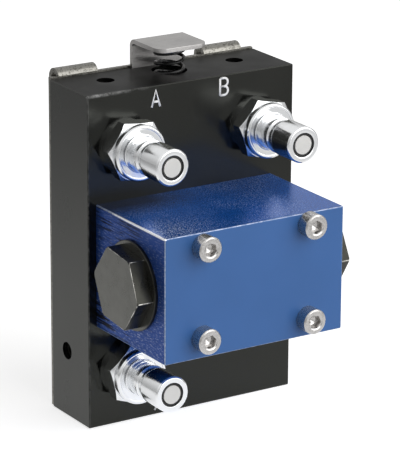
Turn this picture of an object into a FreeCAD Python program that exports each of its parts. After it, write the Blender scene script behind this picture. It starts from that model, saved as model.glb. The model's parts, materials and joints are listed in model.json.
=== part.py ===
import FreeCAD, Part
import os
import re

import Sketcher

# Pilot-operated non-return valve on a connection plate for a hydraulics panel.
# Millimetres. X runs to the right, Y to the back and Z up, and the origin is
# the centre of the back face, which lies against the panel.

DIMENSIONS = {
    # connection plate, black anodised aluminium
    "plate_width": 80.0,
    "plate_height": 115.0,
    "plate_depth": 24.5,
    "plate_chamfer": 0.3,
    "channel_radius": 2.5,
    "channel_behind_face": 14.5,
    "channel_shift": 0.6,
    "channel_plug_radius": 3.0,
    "channel_plug_length": 5.0,
    "channel_plug_recess": 1.6,
    "plug_key_radius": 1.6,
    "plug_key_depth": 2.0,
    "side_channel_above_nipple": 4.7,
    # stainless sheet on the back, with two hooks for the panel's slots
    "sheet_gauge": 1.5,
    "sheet_side_gap": 0.4,
    "sheet_rise": 0.6,
    "sheet_foot_gap": 0.3,
    "hook_gap": 3.8,
    "hook_length": 15.0,
    "hook_pitch": 56.6,
    "hook_shift": -0.6,
    "hook_rise": 2.7,
    "hook_grip": 8.0,
    "sheet_screw_inset_x": 6.0,
    "sheet_screw_inset_z": 10.0,
    "sheet_screw_radius": 2.0,
    "sheet_screw_head_radius": 3.3,
    "sheet_screw_grip": 8.0,
    "sheet_screw_key_radius": 1.25,
    "sheet_screw_key_depth": 1.0,
    # latch: a bent sheet that slides behind the plate against a spring
    "latch_centre": 0.4,
    "tab_width": 19.5,
    "tab_reach": 19.0,
    "tab_rise": 10.1,
    "tab_corner": 4.0,
    "slide_gauge": 1.5,
    "slide_gap": 0.1,
    "bend_radius": 1.0,
    "latch_travel": 5.0,
    "slide_foot": 15.0,
    "tongue_width": 10.0,
    "finger_height": 6.0,
    "guide_spacing": 40.0,
    "guide_gap": 0.2,
    "latch_spring_radius": 4.8,
    "latch_wire_radius": 0.6,
    "latch_spring_turns": 5.5,
    "spring_recess_radius": 6.0,
    "spring_recess_depth": 8.0,
    "spring_seat_gap": 0.05,
    # valve body, a steel block of the standard small size
    "block_width": 68.5,
    "block_height": 42.5,
    "block_depth": 43.0,
    "block_centre_x": -2.65,
    "block_centre_z": -0.75,
    "block_edge": 0.5,
    "bore_ahead_of_plate": 23.8,
    "bore_above_centre": 0.45,
    "plug_thread_radius": 11.0,
    "plug_thread_length": 10.0,
    "plug_mouth_radius": 13.2,
    "plug_mouth_depth": 2.2,
    "plug_undercut": 1.1,
    "plug_seal_room": 0.9,
    "thread_gap": 0.05,
    "plug_flats": 24.0,
    "plug_hex_length": 5.7,
    "plug_collar_radius": 15.0,
    "plug_collar_length": 1.1,
    "left_plug_turn": 23.0,
    "right_plug_turn": 33.0,
    "thread_lead": 0.5,
    "hex_chamfer_start": 0.15,
    "hex_chamfer_angle": 30.0,
    "cutter_overrun": 3.0,
    # ports and screws of the valve face, after the standard pattern
    "pattern_centre_x": -2.4,
    "pattern_centre_z": 0.4,
    "screw_span": 40.5,
    "left_screw_span": 31.0,
    "right_screw_span": 32.5,
    "screw_radius": 2.5,
    "screw_hole_radius": 2.75,
    "screw_head_radius": 4.25,
    "screw_head_height": 5.0,
    "screw_head_edge": 0.4,
    "screw_key_flats": 4.0,
    "screw_key_depth": 2.5,
    "screw_grip": 8.0,
    "drill_allowance": 1.0,
    "port_drill_allowance": 4.0,
    "port_radius": 3.25,
    "port_a_offset": -7.55,
    "port_b_offset": 9.95,
    "port_x_offset": 1.25,
    "port_x_drop": 10.4,
    "port_seal_inner": 3.9,
    "port_seal_outer": 5.5,
    "port_seal_recess": 1.4,
    "seal_edge": 0.35,
    # poppet, seat and pilot piston inside the valve body
    "piston_bore_radius": 8.0,
    "chamber_radius": 5.5,
    "chamber_length": 10.0,
    "seat_bore_radius": 7.0,
    "seat_length": 8.0,
    "seat_hole_radius": 4.0,
    "seat_lift_gap": 0.1,
    "running_gap": 0.05,
    "nose_radius": 2.5,
    "cone_radius": 6.2,
    "neck_radius": 5.2,
    "neck_length": 3.0,
    "skirt_length": 8.0,
    "spring_pocket_radius": 5.0,
    "pocket_floor": 1.0,
    "plug_pocket_depth": 3.5,
    "poppet_travel": 3.0,
    "poppet_spring_radius": 4.0,
    "poppet_wire_radius": 0.55,
    "poppet_spring_turns": 5.0,
    "pilot_space": 2.0,
    "pilot_nub_radius": 3.0,
    "piston_length": 7.4,
    "piston_seal_width": 2.4,
    "piston_seal_depth": 1.6,
    "push_rod_radius": 2.5,
    "push_rod_gap": 0.3,
    "piston_end_gap": 0.5,
    # three flat-faced nipples: A and B above, the pilot X below
    "nipple_pitch": 50.3,
    "nipple_row_rise": 38.5,
    "pilot_nipple_drop": 38.9,
    "nipple_a_turn": -4.5,
    "nipple_b_turn": -11.5,
    "nipple_x_turn": -17.0,
    "nipple_length": 28.7,
    "stud_radius": 6.5,
    "stud_length": 10.0,
    "nipple_collar_radius": 9.45,
    "nipple_collar_length": 2.0,
    "nipple_flats": 19.0,
    "nipple_hex_length": 5.2,
    "stud_seal_inner": 6.9,
    "stud_seal_outer": 8.4,
    "stud_seal_depth": 1.5,
    "oilway_radius": 4.2,
    "tail_radius": 7.0,
    "tail_length": 4.5,
    "flange_radius": 9.2,
    "flange_length": 2.7,
    "flange_edge": 0.5,
    "flange_step_radius": 8.2,
    "flange_step": 0.25,
    "neck_relief": 0.2,
    "neck_groove_length": 1.5,
    "neck_groove_depth": 0.75,
    "tip_radius": 6.2,
    "tip_edge": 0.5,
    "tip_length": 9.9,
    "lock_groove_width": 3.2,
    "lock_groove_depth": 0.8,
    "lock_groove_rise": 0.3,
    "lock_groove_slope": 1.3,
    "mouth_radius": 4.15,
    "mouth_depth": 3.5,
    "nipple_chamber_radius": 4.7,
    "nipple_guide_radius": 5.5,
    "nipple_guide_length": 3.0,
    "guide_slot_width": 1.6,
    "poppet_face_radius": 3.2,
    "poppet_face_recess": 0.1,
    "poppet_seal_recess": 0.4,
    "poppet_seal_length": 1.4,
    "poppet_shoulder": 1.5,
    "nipple_stem_radius": 2.0,
    "stem_overhang": 0.55,
    "nipple_spring_radius": 3.3,
    "nipple_wire_radius": 0.45,
    "nipple_spring_turns": 5.0,
}

# Lines and faces that several pieces share, as formulas of the dimensions.
PLATE_BACK = "(sheet_gauge)"
PLATE_FRONT = "(sheet_gauge + plate_depth)"
BLOCK_FRONT = "(sheet_gauge + plate_depth + block_depth)"
PLATE_TOP = "(plate_height / 2)"
BLOCK_LEFT = "(block_centre_x - block_width / 2)"
BLOCK_RIGHT = "(block_centre_x + block_width / 2)"
BORE_Y = "(-(sheet_gauge + plate_depth + bore_ahead_of_plate))"
BORE_Z = "(block_centre_z + bore_above_centre)"
CHANNEL_Y = "(-(sheet_gauge + plate_depth - channel_behind_face))"
PILOT_ROW = "(-pilot_nipple_drop)"
SIDE_CHANNEL_Z = "(side_channel_above_nipple - pilot_nipple_drop)"
SLIDE_BACK = "(sheet_gauge + slide_gap)"
SLIDE_FRONT = "(sheet_gauge + slide_gap + slide_gauge)"
SLIDE_CHANNEL_DEPTH = "(slide_gauge + 2 * slide_gap)"
SPRING_Y = "(-(sheet_gauge + tab_reach / 2))"
SLIDE_FOOT_Z = "(slide_foot - plate_height / 2)"
# Stations along the valve's bore, from the block's left face.
PISTON_FACE = "(plug_thread_length + pilot_space + thread_gap)"
PISTON_END = f"({PISTON_FACE} + piston_length)"
PISTON_BORE_END = f"({PISTON_END} + poppet_travel + piston_end_gap)"
SEAT_START = f"({PISTON_BORE_END} + chamber_length)"
SEAT_END = f"({SEAT_START} + seat_length)"
NOSE_TIP = f"({SEAT_END} + seat_lift_gap - (seat_hole_radius - nose_radius))"
CONE_END = f"({NOSE_TIP} + cone_radius - nose_radius)"
SKIRT_START = f"({CONE_END} + neck_length)"
SKIRT_END = f"({SKIRT_START} + skirt_length)"
RIGHT_STUD_END = "(block_width - plug_thread_length)"
# Stations along a nipple, outwards from the plate's face.
HEX_END = "(nipple_collar_length + nipple_hex_length)"
TAIL_END = f"({HEX_END} - tail_length)"
FLANGE_FACE = f"({HEX_END} + flange_length)"
TIP_BACK = "(nipple_length - tip_length)"
SHOULDER = "(nipple_length - mouth_depth)"
COLLAR_BACK = f"({SHOULDER} - running_gap - poppet_shoulder)"
GUIDE_FACE = f"({TAIL_END} + nipple_guide_length)"

# Closer than this, two lines are taken as one.
TOUCHING = 0.001

UP = FreeCAD.Rotation()
FORWARDS = FreeCAD.Rotation(FreeCAD.Vector(1, 0, 0), 90)
BACKWARDS = FreeCAD.Rotation(FreeCAD.Vector(1, 0, 0), -90)
RIGHTWARDS = FreeCAD.Rotation(FreeCAD.Vector(0, 1, 0), 90)
LEFTWARDS = FreeCAD.Rotation(FreeCAD.Vector(0, 1, 0), -90)

document = FreeCAD.newDocument("non_return_valve")
sheet = document.addObject("Spreadsheet::Sheet", "Sizes")
nodes = {}


def fill_sheet():
    """Write each driving dimension to a cell of its own, with its name as the alias."""
    for row, (name, size) in enumerate(DIMENSIONS.items(), start=1):
        sheet.set(f"A{row}", name)
        sheet.set(f"B{row}", str(size))
        sheet.setAlias(f"B{row}", name)
    document.recompute()


def formula(text):
    """The text with every dimension's name pointing at its cell."""
    def cell(word):
        name = word.group()
        return f"Sizes.{name}" if name in DIMENSIONS else name
    return re.sub(r"[a-z][a-z_]*", cell, str(text))


def value(text):
    """What a formula comes to now."""
    return float(sheet.evalExpression(formula(text)))


def bind(item, **bindings):
    """Tie properties of an object to formulas."""
    for name, text in bindings.items():
        item.setExpression(name, formula(text))


def place(item, facing=UP, x="0", y="0", z="0", turn=0.0):
    """Turn an object to face one way and tie its place to formulas."""
    spin = FreeCAD.Rotation(FreeCAD.Vector(0, 0, 1), turn)
    item.Placement = FreeCAD.Placement(FreeCAD.Vector(), facing.multiply(spin))
    for axis, text in zip("xyz", (x, y, z)):
        item.setExpression(f"Placement.Base.{axis}", formula(text))
    return item


def keep(item, label):
    """Name an object as a finished piece."""
    item.Label = label
    nodes[label] = item
    return item


def new_body(label):
    """An empty body."""
    body = document.addObject("PartDesign::Body", label)
    body.Label = label
    return body


def sketch_on(body, role, offset="0"):
    """A sketch on one of the body's own origin planes, moved along its normal."""
    sketch = body.newObject("Sketcher::SketchObject", "Sketch")
    plane = next(item for item in body.Origin.OriginFeatures if item.Role == role)
    sketch.AttachmentSupport = [(plane, "")]
    sketch.MapMode = "FlatFace"
    sketch.setExpression("AttachmentOffset.Base.z", formula(offset))
    return sketch


def pin_point(sketch, geometry, end, u, v):
    """Hold a point of the sketch at two formulas, or on an axis where one is nought."""
    for kind, text, axis in (("DistanceX", u, -2), ("DistanceY", v, -1)):
        if text == "0":
            sketch.addConstraint(Sketcher.Constraint("PointOnObject", geometry, end, axis))
            continue
        number = sketch.addConstraint(
            Sketcher.Constraint(kind, -1, 1, geometry, end, value(text)))
        sketch.setExpression(f"Constraints[{number}]", formula(text))


def draw_outline(sketch, corners):
    """Straight sides through the corners, each corner held by its two coordinates."""
    points = [FreeCAD.Vector(value(u), value(v), 0) for u, v in corners]
    first = sketch.GeometryCount
    count = len(points)
    for index, point in enumerate(points):
        sketch.addGeometry(Part.LineSegment(point, points[(index + 1) % count]), False)
    for index, (u, v) in enumerate(corners):
        following = first + (index + 1) % count
        sketch.addConstraint(Sketcher.Constraint("Coincident", first + index, 2, following, 1))
        pin_point(sketch, first + index, 1, u, v)


def draw_box(sketch, left, right, low, high):
    """A rectangle between four formulas."""
    draw_outline(sketch, [(left, low), (right, low), (right, high), (left, high)])


def draw_circle(sketch, u, v, radius):
    """A circle about a point, with its radius tied to a formula."""
    centre = FreeCAD.Vector(value(u), value(v), 0)
    circle = sketch.addGeometry(
        Part.Circle(centre, FreeCAD.Vector(0, 0, 1), value(radius)), False)
    pin_point(sketch, circle, 3, u, v)
    number = sketch.addConstraint(Sketcher.Constraint("Radius", circle, value(radius)))
    sketch.setExpression(f"Constraints[{number}]", formula(radius))


def pad(body, sketch, length, both_ways=False):
    """Thicken a sketch along its normal, or half each way."""
    feature = body.newObject("PartDesign::Pad", "Pad")
    feature.Profile = sketch
    feature.Midplane = both_ways
    bind(feature, Length=length)
    document.recompute()
    return feature


def cut(body, kind, sketch):
    """A cutting feature of the body, not yet sized."""
    feature = body.newObject(kind, "Cut")
    feature.Profile = sketch
    return feature


def pocket(body, sketch, depth, along_normal=False):
    """Cut a sketch into the body, against its normal unless told otherwise."""
    before = body.Shape.Volume
    feature = cut(body, "PartDesign::Pocket", sketch)
    feature.Reversed = along_normal
    bind(feature, Length=depth)
    document.recompute()
    if body.Shape.Volume >= before:
        raise RuntimeError(f"{body.Label}: a pocket cuts nothing")
    return feature


def drill(body, role, offset, u, v, radius, depth, along_normal=False):
    """A round hole from a plane of the body."""
    sketch = sketch_on(body, role, offset)
    draw_circle(sketch, u, v, radius)
    return pocket(body, sketch, depth, along_normal)


def turned(label, outline):
    """A body spun about its own axis, from corners given as radius and station."""
    body = new_body(label)
    sketch = sketch_on(body, "XZ_Plane")
    draw_outline(sketch, outline)
    feature = body.newObject("PartDesign::Revolution", "Revolution")
    feature.Profile = sketch
    feature.ReferenceAxis = (sketch, ["V_Axis"])
    feature.Angle = 360
    document.recompute()
    return body


def turned_cut(body, outline):
    """Spin a second outline about the same axis and take it away."""
    before = body.Shape.Volume
    sketch = sketch_on(body, "XZ_Plane")
    draw_outline(sketch, outline)
    feature = cut(body, "PartDesign::Groove", sketch)
    feature.ReferenceAxis = (sketch, ["V_Axis"])
    feature.Angle = 360
    document.recompute()
    if body.Shape.Volume >= before:
        raise RuntimeError(f"{body.Label}: a turned cut takes nothing away")


def hexagon(body, kind, flats, start, length):
    """Add or cut a six-sided prism along the body's axis."""
    prism = body.newObject(kind, "Hexagon")
    prism.Polygon = 6
    bind(prism, Circumradius=f"({flats}) / 2 / cos(30)", Height=length)
    prism.setExpression("Placement.Base.z", formula(start))
    document.recompute()
    return prism


def hex_chamfer(body, flats, end, side):
    """Turn the corners off one end of a hexagon, side being 1 for its outer end."""
    beyond = f"({flats}) / 2 / cos(30) + cutter_overrun"
    start = f"({flats}) / 2 + hex_chamfer_start"
    depth = f"({beyond} - ({start})) * tan(hex_chamfer_angle)"
    turned_cut(body, [(start, end), (beyond, end), (beyond, f"{end} - {side} * {depth}")])


def seal_ring(label, inner, outer, depth, facing, x, y, z):
    """A seal ring squeezed nearly square in a recess, with a little room above and below."""
    low = "running_gap"
    high = f"({depth} - running_gap)"
    body = turned(label, [
        (f"{inner} + seal_edge", low),
        (f"{outer} - seal_edge", low),
        (outer, f"{low} + seal_edge"),
        (outer, f"{high} - seal_edge"),
        (f"{outer} - seal_edge", high),
        (f"{inner} + seal_edge", high),
        (inner, f"{high} - seal_edge"),
        (inner, f"{low} + seal_edge"),
    ])
    return place(body, facing, x, y, z)


def coil(label, radius, wire, turns, length, sides):
    """A compression spring of wire that starts and ends inside the given length."""
    helix = document.addObject("Part::Helix", f"{label}_line")
    helix.SegmentLength = 0
    rise = f"({length} - 2 * {wire})"
    bind(helix, Radius=radius, Height=rise, Pitch=f"{rise} / {turns}")
    section = document.addObject("Part::RegularPolygon", f"{label}_section")
    section.Polygon = sides
    bind(section, Circumradius=wire)
    place(section, FORWARDS, x=radius)
    spring = document.addObject("Part::Sweep", label)
    spring.Sections = [section]
    spring.Spine = (helix, ["Edge1"])
    spring.Solid = True
    spring.Frenet = True
    return spring


def seat_spring(spring, wire, facing, x, y, z):
    """Stand a spring on its seat: its first turn starts a wire's radius off it."""
    step = facing.multVec(FreeCAD.Vector(0, 0, 1))
    places = []
    for text, share in zip((x, y, z), step):
        places.append(f"{text} + ({wire} + spring_seat_gap) * {round(share)}")
    return place(spring, facing, *places)


def edges_at(shape, points):
    """Names of the edges that pass through the points."""
    names = []
    for point in points:
        spot = Part.Vertex(FreeCAD.Vector(*point))
        gaps = [edge.distToShape(spot)[0] for edge in shape.Edges]
        names.append(f"Edge{gaps.index(min(gaps)) + 1}")
    return names


def round_edges(body, points, radius):
    """Fillet the body's edges through the points."""
    base = body.Tip
    names = edges_at(base.Shape, points)
    fillet = body.newObject("PartDesign::Fillet", "Fillet")
    fillet.Base = (base, names)
    bind(fillet, Radius=radius)
    document.recompute()
    return fillet


def slanted_hole(body, start, end, radius):
    """A straight round hole from a point on a face to a point inside."""
    before = body.Shape.Volume
    mouth = FreeCAD.Vector(*(value(text) for text in start))
    high = FreeCAD.Vector(*(value(text) for text in end))
    run_in = (mouth - high).normalize() * value("cutter_overrun")
    low = mouth + run_in
    hole = body.newObject("PartDesign::SubtractiveCylinder", "SlantedHole")
    bind(hole, Radius=radius)
    hole.Height = (high - low).Length
    turn = FreeCAD.Rotation(FreeCAD.Vector(0, 0, 1), high - low)
    hole.Placement = FreeCAD.Placement(low, turn)
    document.recompute()
    if body.Shape.Volume >= before:
        raise RuntimeError(f"{body.Label}: a slanted hole cuts nothing")


def nipple_places():
    """Name, place across the plate, height and turn of each nipple."""
    return (
        ("a", "(-nipple_pitch / 2)", "(nipple_row_rise)", "nipple_a_turn"),
        ("b", "(nipple_pitch / 2)", "(nipple_row_rise)", "nipple_b_turn"),
        ("x", "(-nipple_pitch / 2)", PILOT_ROW, "nipple_x_turn"),
    )


def port_places():
    """Place of each oil port of the valve face."""
    return (
        ("(pattern_centre_x + port_a_offset)", "pattern_centre_z"),
        ("(pattern_centre_x + port_b_offset)", "pattern_centre_z"),
        ("(pattern_centre_x + port_x_offset)", "(pattern_centre_z - port_x_drop)"),
    )


def valve_screw_places():
    """Place of each of the four screws of the standard valve pattern."""
    places = []
    for side, span in ((-1, "left_screw_span"), (1, "right_screw_span")):
        for level in (-1, 1):
            places.append((f"(pattern_centre_x + {side} * screw_span / 2)",
                           f"(pattern_centre_z + {level} * {span} / 2)"))
    return places


def sheet_screw_places():
    """Four screws near the sheet's corners."""
    across = "(plate_width / 2 - sheet_screw_inset_x)"
    up = "(plate_height / 2 - sheet_screw_inset_z)"
    return [(f"({side} * {across})", f"({level} * {up})")
            for side in (-1, 1) for level in (-1, 1)]


def guide_screw_places():
    """Two screws that run in the slide's slots."""
    return [("latch_centre", f"({level} * guide_spacing / 2)") for level in (-1, 1)]


def drill_channels(body):
    """The oil channels in the plate, from the nipples to the valve face."""
    ports = port_places()
    for (across, level), side in zip(ports[:2], (-1, 1)):
        line = f"({side} * nipple_pitch / 2 + channel_shift)"
        drill(body, "XY_Plane", PLATE_TOP, line, CHANNEL_Y, "channel_radius",
              f"{PLATE_TOP} - {level} + channel_radius")
        drill(body, "XY_Plane", PLATE_TOP, line, CHANNEL_Y, "channel_plug_radius",
              "channel_plug_recess + channel_plug_length")
        slanted_hole(body, (across, f"-{PLATE_FRONT}", level), (line, CHANNEL_Y, level),
                     "channel_radius")
    across, level = ports[2]
    drill(body, "YZ_Plane", "-plate_width / 2", CHANNEL_Y, SIDE_CHANNEL_Z, "channel_radius",
          f"plate_width / 2 + {across}", along_normal=True)
    drill(body, "YZ_Plane", "-plate_width / 2", CHANNEL_Y, SIDE_CHANNEL_Z,
          "channel_plug_radius", "channel_plug_recess + channel_plug_length",
          along_normal=True)
    slanted_hole(body, (across, f"-{PLATE_FRONT}", level),
                 (across, CHANNEL_Y, SIDE_CHANNEL_Z), "channel_radius")


def connection_plate():
    """The plate that carries everything, with its channels, ports and screw holes."""
    body = new_body("connection_plate")
    sketch = sketch_on(body, "XZ_Plane", PLATE_BACK)
    draw_box(sketch, "-plate_width / 2", "plate_width / 2",
             "-plate_height / 2", "plate_height / 2")
    block = pad(body, sketch, "plate_depth")
    chamfer = body.newObject("PartDesign::Chamfer", "Chamfer")
    chamfer.Base = (block, [f"Edge{number + 1}" for number in range(12)])
    bind(chamfer, Size="plate_chamfer")
    document.recompute()
    for _, across, level, _ in nipple_places():
        drill(body, "XZ_Plane", PLATE_FRONT, across, level, "stud_radius + thread_gap",
              "stud_length + port_drill_allowance")
    for across, level in valve_screw_places():
        drill(body, "XZ_Plane", PLATE_FRONT, across, level, "screw_radius + thread_gap",
              "screw_grip + drill_allowance")
    drill_channels(body)
    drill(body, "XY_Plane", PLATE_TOP, "latch_centre", SPRING_Y, "spring_recess_radius",
          "spring_recess_depth")
    channel = sketch_on(body, "XZ_Plane", PLATE_BACK)
    half = "(tab_width / 2 + 2 * slide_gap)"
    draw_box(channel, f"latch_centre - {half}", f"latch_centre + {half}",
             f"{SLIDE_FOOT_Z} - latch_travel - drill_allowance", "plate_height / 2")
    pocket(body, channel, SLIDE_CHANNEL_DEPTH, along_normal=True)
    for across, level in sheet_screw_places() + guide_screw_places():
        drill(body, "XZ_Plane", PLATE_BACK, across, level,
              "sheet_screw_radius + thread_gap", "sheet_screw_grip + drill_allowance",
              along_normal=True)
    keep(body, "connection_plate")


def channel_plug(label, facing, x, y, z):
    """A grub screw that closes a drilled channel, below the plate's surface."""
    body = turned(label, [
        ("0", "-channel_plug_length"),
        ("channel_plug_radius - thread_gap", "-channel_plug_length"),
        ("channel_plug_radius - thread_gap", "-plate_chamfer"),
        ("channel_plug_radius - thread_gap - plate_chamfer", "0"),
        ("0", "0"),
    ])
    hexagon(body, "PartDesign::SubtractivePrism", "2 * plug_key_radius * cos(30)",
            "-plug_key_depth", "plug_key_depth")
    return place(body, facing, x, y, z)


def channel_plugs():
    """Two plugs in the top face and one in the left side."""
    tops = []
    for side, name in ((-1, "left"), (1, "right")):
        tops.append(channel_plug(
            f"top_channel_plug_{name}", UP, f"{side} * nipple_pitch / 2 + channel_shift",
            CHANNEL_Y, f"{PLATE_TOP} - channel_plug_recess"))
    group = document.addObject("Part::Compound", "top_channel_plugs")
    group.Links = tops
    keep(group, "top_channel_plugs")
    keep(channel_plug("side_channel_plug", LEFTWARDS, "-plate_width / 2 + channel_plug_recess",
                      CHANNEL_Y, SIDE_CHANNEL_Z), "side_channel_plug")


def hook(label, centre):
    """A hook bent over backwards from the sheet's top edge."""
    crown_z = f"({PLATE_TOP} + hook_rise - hook_gap / 2 - sheet_gauge)"
    middle_y = "(hook_gap / 2)"
    start = f"({centre} - hook_length / 2)"
    shells = []
    for radius in ("hook_gap / 2 + sheet_gauge", "hook_gap / 2"):
        shell = document.addObject("Part::Cylinder", f"{label}_shell")
        shell.Angle = 180
        bind(shell, Radius=radius, Height="hook_length")
        half_turn = FreeCAD.Rotation(FreeCAD.Vector(0, 0, 1), 90)
        shell.Placement = FreeCAD.Placement(FreeCAD.Vector(), RIGHTWARDS.multiply(half_turn))
        for axis, text in zip("xyz", (start, middle_y, crown_z)):
            shell.setExpression(f"Placement.Base.{axis}", formula(text))
        shells.append(shell)
    bend = document.addObject("Part::Cut", f"{label}_bend")
    bend.Base, bend.Tool = shells
    leg = document.addObject("Part::Box", f"{label}_leg")
    bind(leg, Length="hook_length", Width="sheet_gauge", Height="hook_grip")
    place(leg, UP, start, "hook_gap", f"{crown_z} - hook_grip")
    root = document.addObject("Part::Box", f"{label}_root")
    bind(root, Length="hook_length", Width="sheet_gauge", Height="hook_rise + sheet_gauge")
    place(root, UP, start, "-sheet_gauge", f"{crown_z} - hook_rise - sheet_gauge")
    return [bend, leg, root]


def hook_plate():
    """The stainless sheet behind the plate, with its hooks, window and screw holes."""
    body = new_body("hook_plate_sheet")
    sketch = sketch_on(body, "XZ_Plane")
    half = "(plate_width / 2 - sheet_side_gap)"
    draw_box(sketch, f"-{half}", half, "-plate_height / 2 + sheet_foot_gap",
             f"{PLATE_TOP} + sheet_rise")
    pad(body, sketch, "sheet_gauge")
    window = sketch_on(body, "XZ_Plane", "sheet_gauge")
    gap = "(tongue_width / 2 + 2 * slide_gap)"
    draw_box(window, f"latch_centre - {gap}", f"latch_centre + {gap}",
             f"{SLIDE_FOOT_Z} - latch_travel - 2 * slide_gap",
             f"{SLIDE_FOOT_Z} + slide_gauge + bend_radius + 2 * slide_gap")
    pocket(body, window, "sheet_gauge")
    for across, level in sheet_screw_places() + guide_screw_places():
        drill(body, "XZ_Plane", "sheet_gauge", across, level,
              "sheet_screw_radius + thread_gap", "sheet_gauge")
        countersink = body.newObject("PartDesign::SubtractiveCone", "Countersink")
        bind(countersink, Radius1="sheet_screw_head_radius + thread_gap",
             Radius2="sheet_screw_radius + thread_gap",
             Height="sheet_screw_head_radius - sheet_screw_radius")
        place(countersink, FORWARDS, across, "0", level)
        document.recompute()
    parts = [body]
    for side, name in ((-1, "left"), (1, "right")):
        parts += hook(f"{name}_hook", f"({side} * hook_pitch / 2 + hook_shift)")
    fused = document.addObject("Part::MultiFuse", "hook_plate")
    fused.Shapes = parts
    fused.Refine = True
    document.recompute()
    keep(fused, "hook_plate")


def sheet_screw(label, across, level):
    """A countersunk screw from behind, with a hexagon key hole."""
    head_height = "(sheet_screw_head_radius - sheet_screw_radius)"
    body = turned(label, [
        ("0", "0"),
        ("sheet_screw_head_radius", "0"),
        ("sheet_screw_radius", f"-{head_height}"),
        ("sheet_screw_radius", "-sheet_gauge - sheet_screw_grip"),
        ("0", "-sheet_gauge - sheet_screw_grip"),
    ])
    hexagon(body, "PartDesign::SubtractivePrism", "2 * sheet_screw_key_radius * cos(30)",
            "-sheet_screw_key_depth", "sheet_screw_key_depth")
    return place(body, BACKWARDS, across, "0", level)


def sheet_screws():
    """The screws that hold the sheet and guide the slide."""
    places = sheet_screw_places() + guide_screw_places()
    group = document.addObject("Part::Compound", "hook_plate_screws")
    group.Links = [sheet_screw(f"hook_plate_screw_{number}", across, level)
                   for number, (across, level) in enumerate(places, start=1)]
    keep(group, "hook_plate_screws")


def latch_slide():
    """The press tab, its riser behind the plate, and the finger that holds the panel."""
    body = new_body("latch_slide")
    front = f"-{SLIDE_FRONT}"
    back = f"-{SLIDE_BACK}"
    tab_front = "-(sheet_gauge + tab_reach)"
    tab_top = f"({PLATE_TOP} + tab_rise)"
    finger = "(hook_gap)"
    foot = SLIDE_FOOT_Z
    riser_end = f"({foot} + slide_gauge + bend_radius)"
    sheet_side = sketch_on(body, "YZ_Plane", "latch_centre")
    draw_outline(sheet_side, [
        (tab_front, f"{tab_top} - slide_gauge"),
        (front, f"{tab_top} - slide_gauge"),
        (front, riser_end),
        (back, riser_end),
        (back, tab_top),
        (tab_front, tab_top),
    ])
    pad(body, sheet_side, "tab_width", both_ways=True)
    tongue_side = sketch_on(body, "YZ_Plane", "latch_centre")
    draw_outline(tongue_side, [
        (front, foot),
        (f"{finger} + slide_gauge", foot),
        (f"{finger} + slide_gauge", f"{foot} + slide_gauge + finger_height"),
        (finger, f"{foot} + slide_gauge + finger_height"),
        (finger, f"{foot} + slide_gauge"),
        (back, f"{foot} + slide_gauge"),
        (back, riser_end),
        (front, riser_end),
    ])
    pad(body, tongue_side, "tongue_width", both_ways=True)
    middle = value("latch_centre")
    inner_bends = [
        (middle, value(front), value(f"{tab_top} - slide_gauge")),
        (middle, value(back), value(f"{foot} + slide_gauge")),
        (middle, value(finger), value(f"{foot} + slide_gauge")),
    ]
    round_edges(body, inner_bends, "bend_radius")
    outer_bends = [
        (middle, value(back), value(tab_top)),
        (middle, value(front), value(foot)),
        (middle, value(f"{finger} + slide_gauge"), value(foot)),
    ]
    round_edges(body, outer_bends, "bend_radius + slide_gauge")
    half_tab = value("tab_width") / 2
    corners = [(middle + side * half_tab, value(tab_front), value(f"{tab_top} - slide_gauge / 2"))
               for side in (-1, 1)]
    round_edges(body, corners, "tab_corner")
    reach = "(sheet_screw_radius + guide_gap)"
    for _, level in guide_screw_places():
        slot = sketch_on(body, "XZ_Plane", SLIDE_FRONT)
        draw_box(slot, f"latch_centre - {reach}", f"latch_centre + {reach}",
                 f"{level} - {reach}", f"{level} + {reach} + latch_travel")
        pocket(body, slot, "slide_gauge")
    keep(body, "latch_slide")


def latch_spring():
    """The spring between the plate's recess and the press tab."""
    floor = f"({PLATE_TOP} - spring_recess_depth)"
    length = "(spring_recess_depth + tab_rise - slide_gauge - 2 * spring_seat_gap)"
    spring = coil("latch_spring", "latch_spring_radius", "latch_wire_radius",
                  "latch_spring_turns", length, 6)
    seat_spring(spring, "latch_wire_radius", UP, "latch_centre", SPRING_Y, floor)
    keep(spring, "latch_spring")


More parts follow.
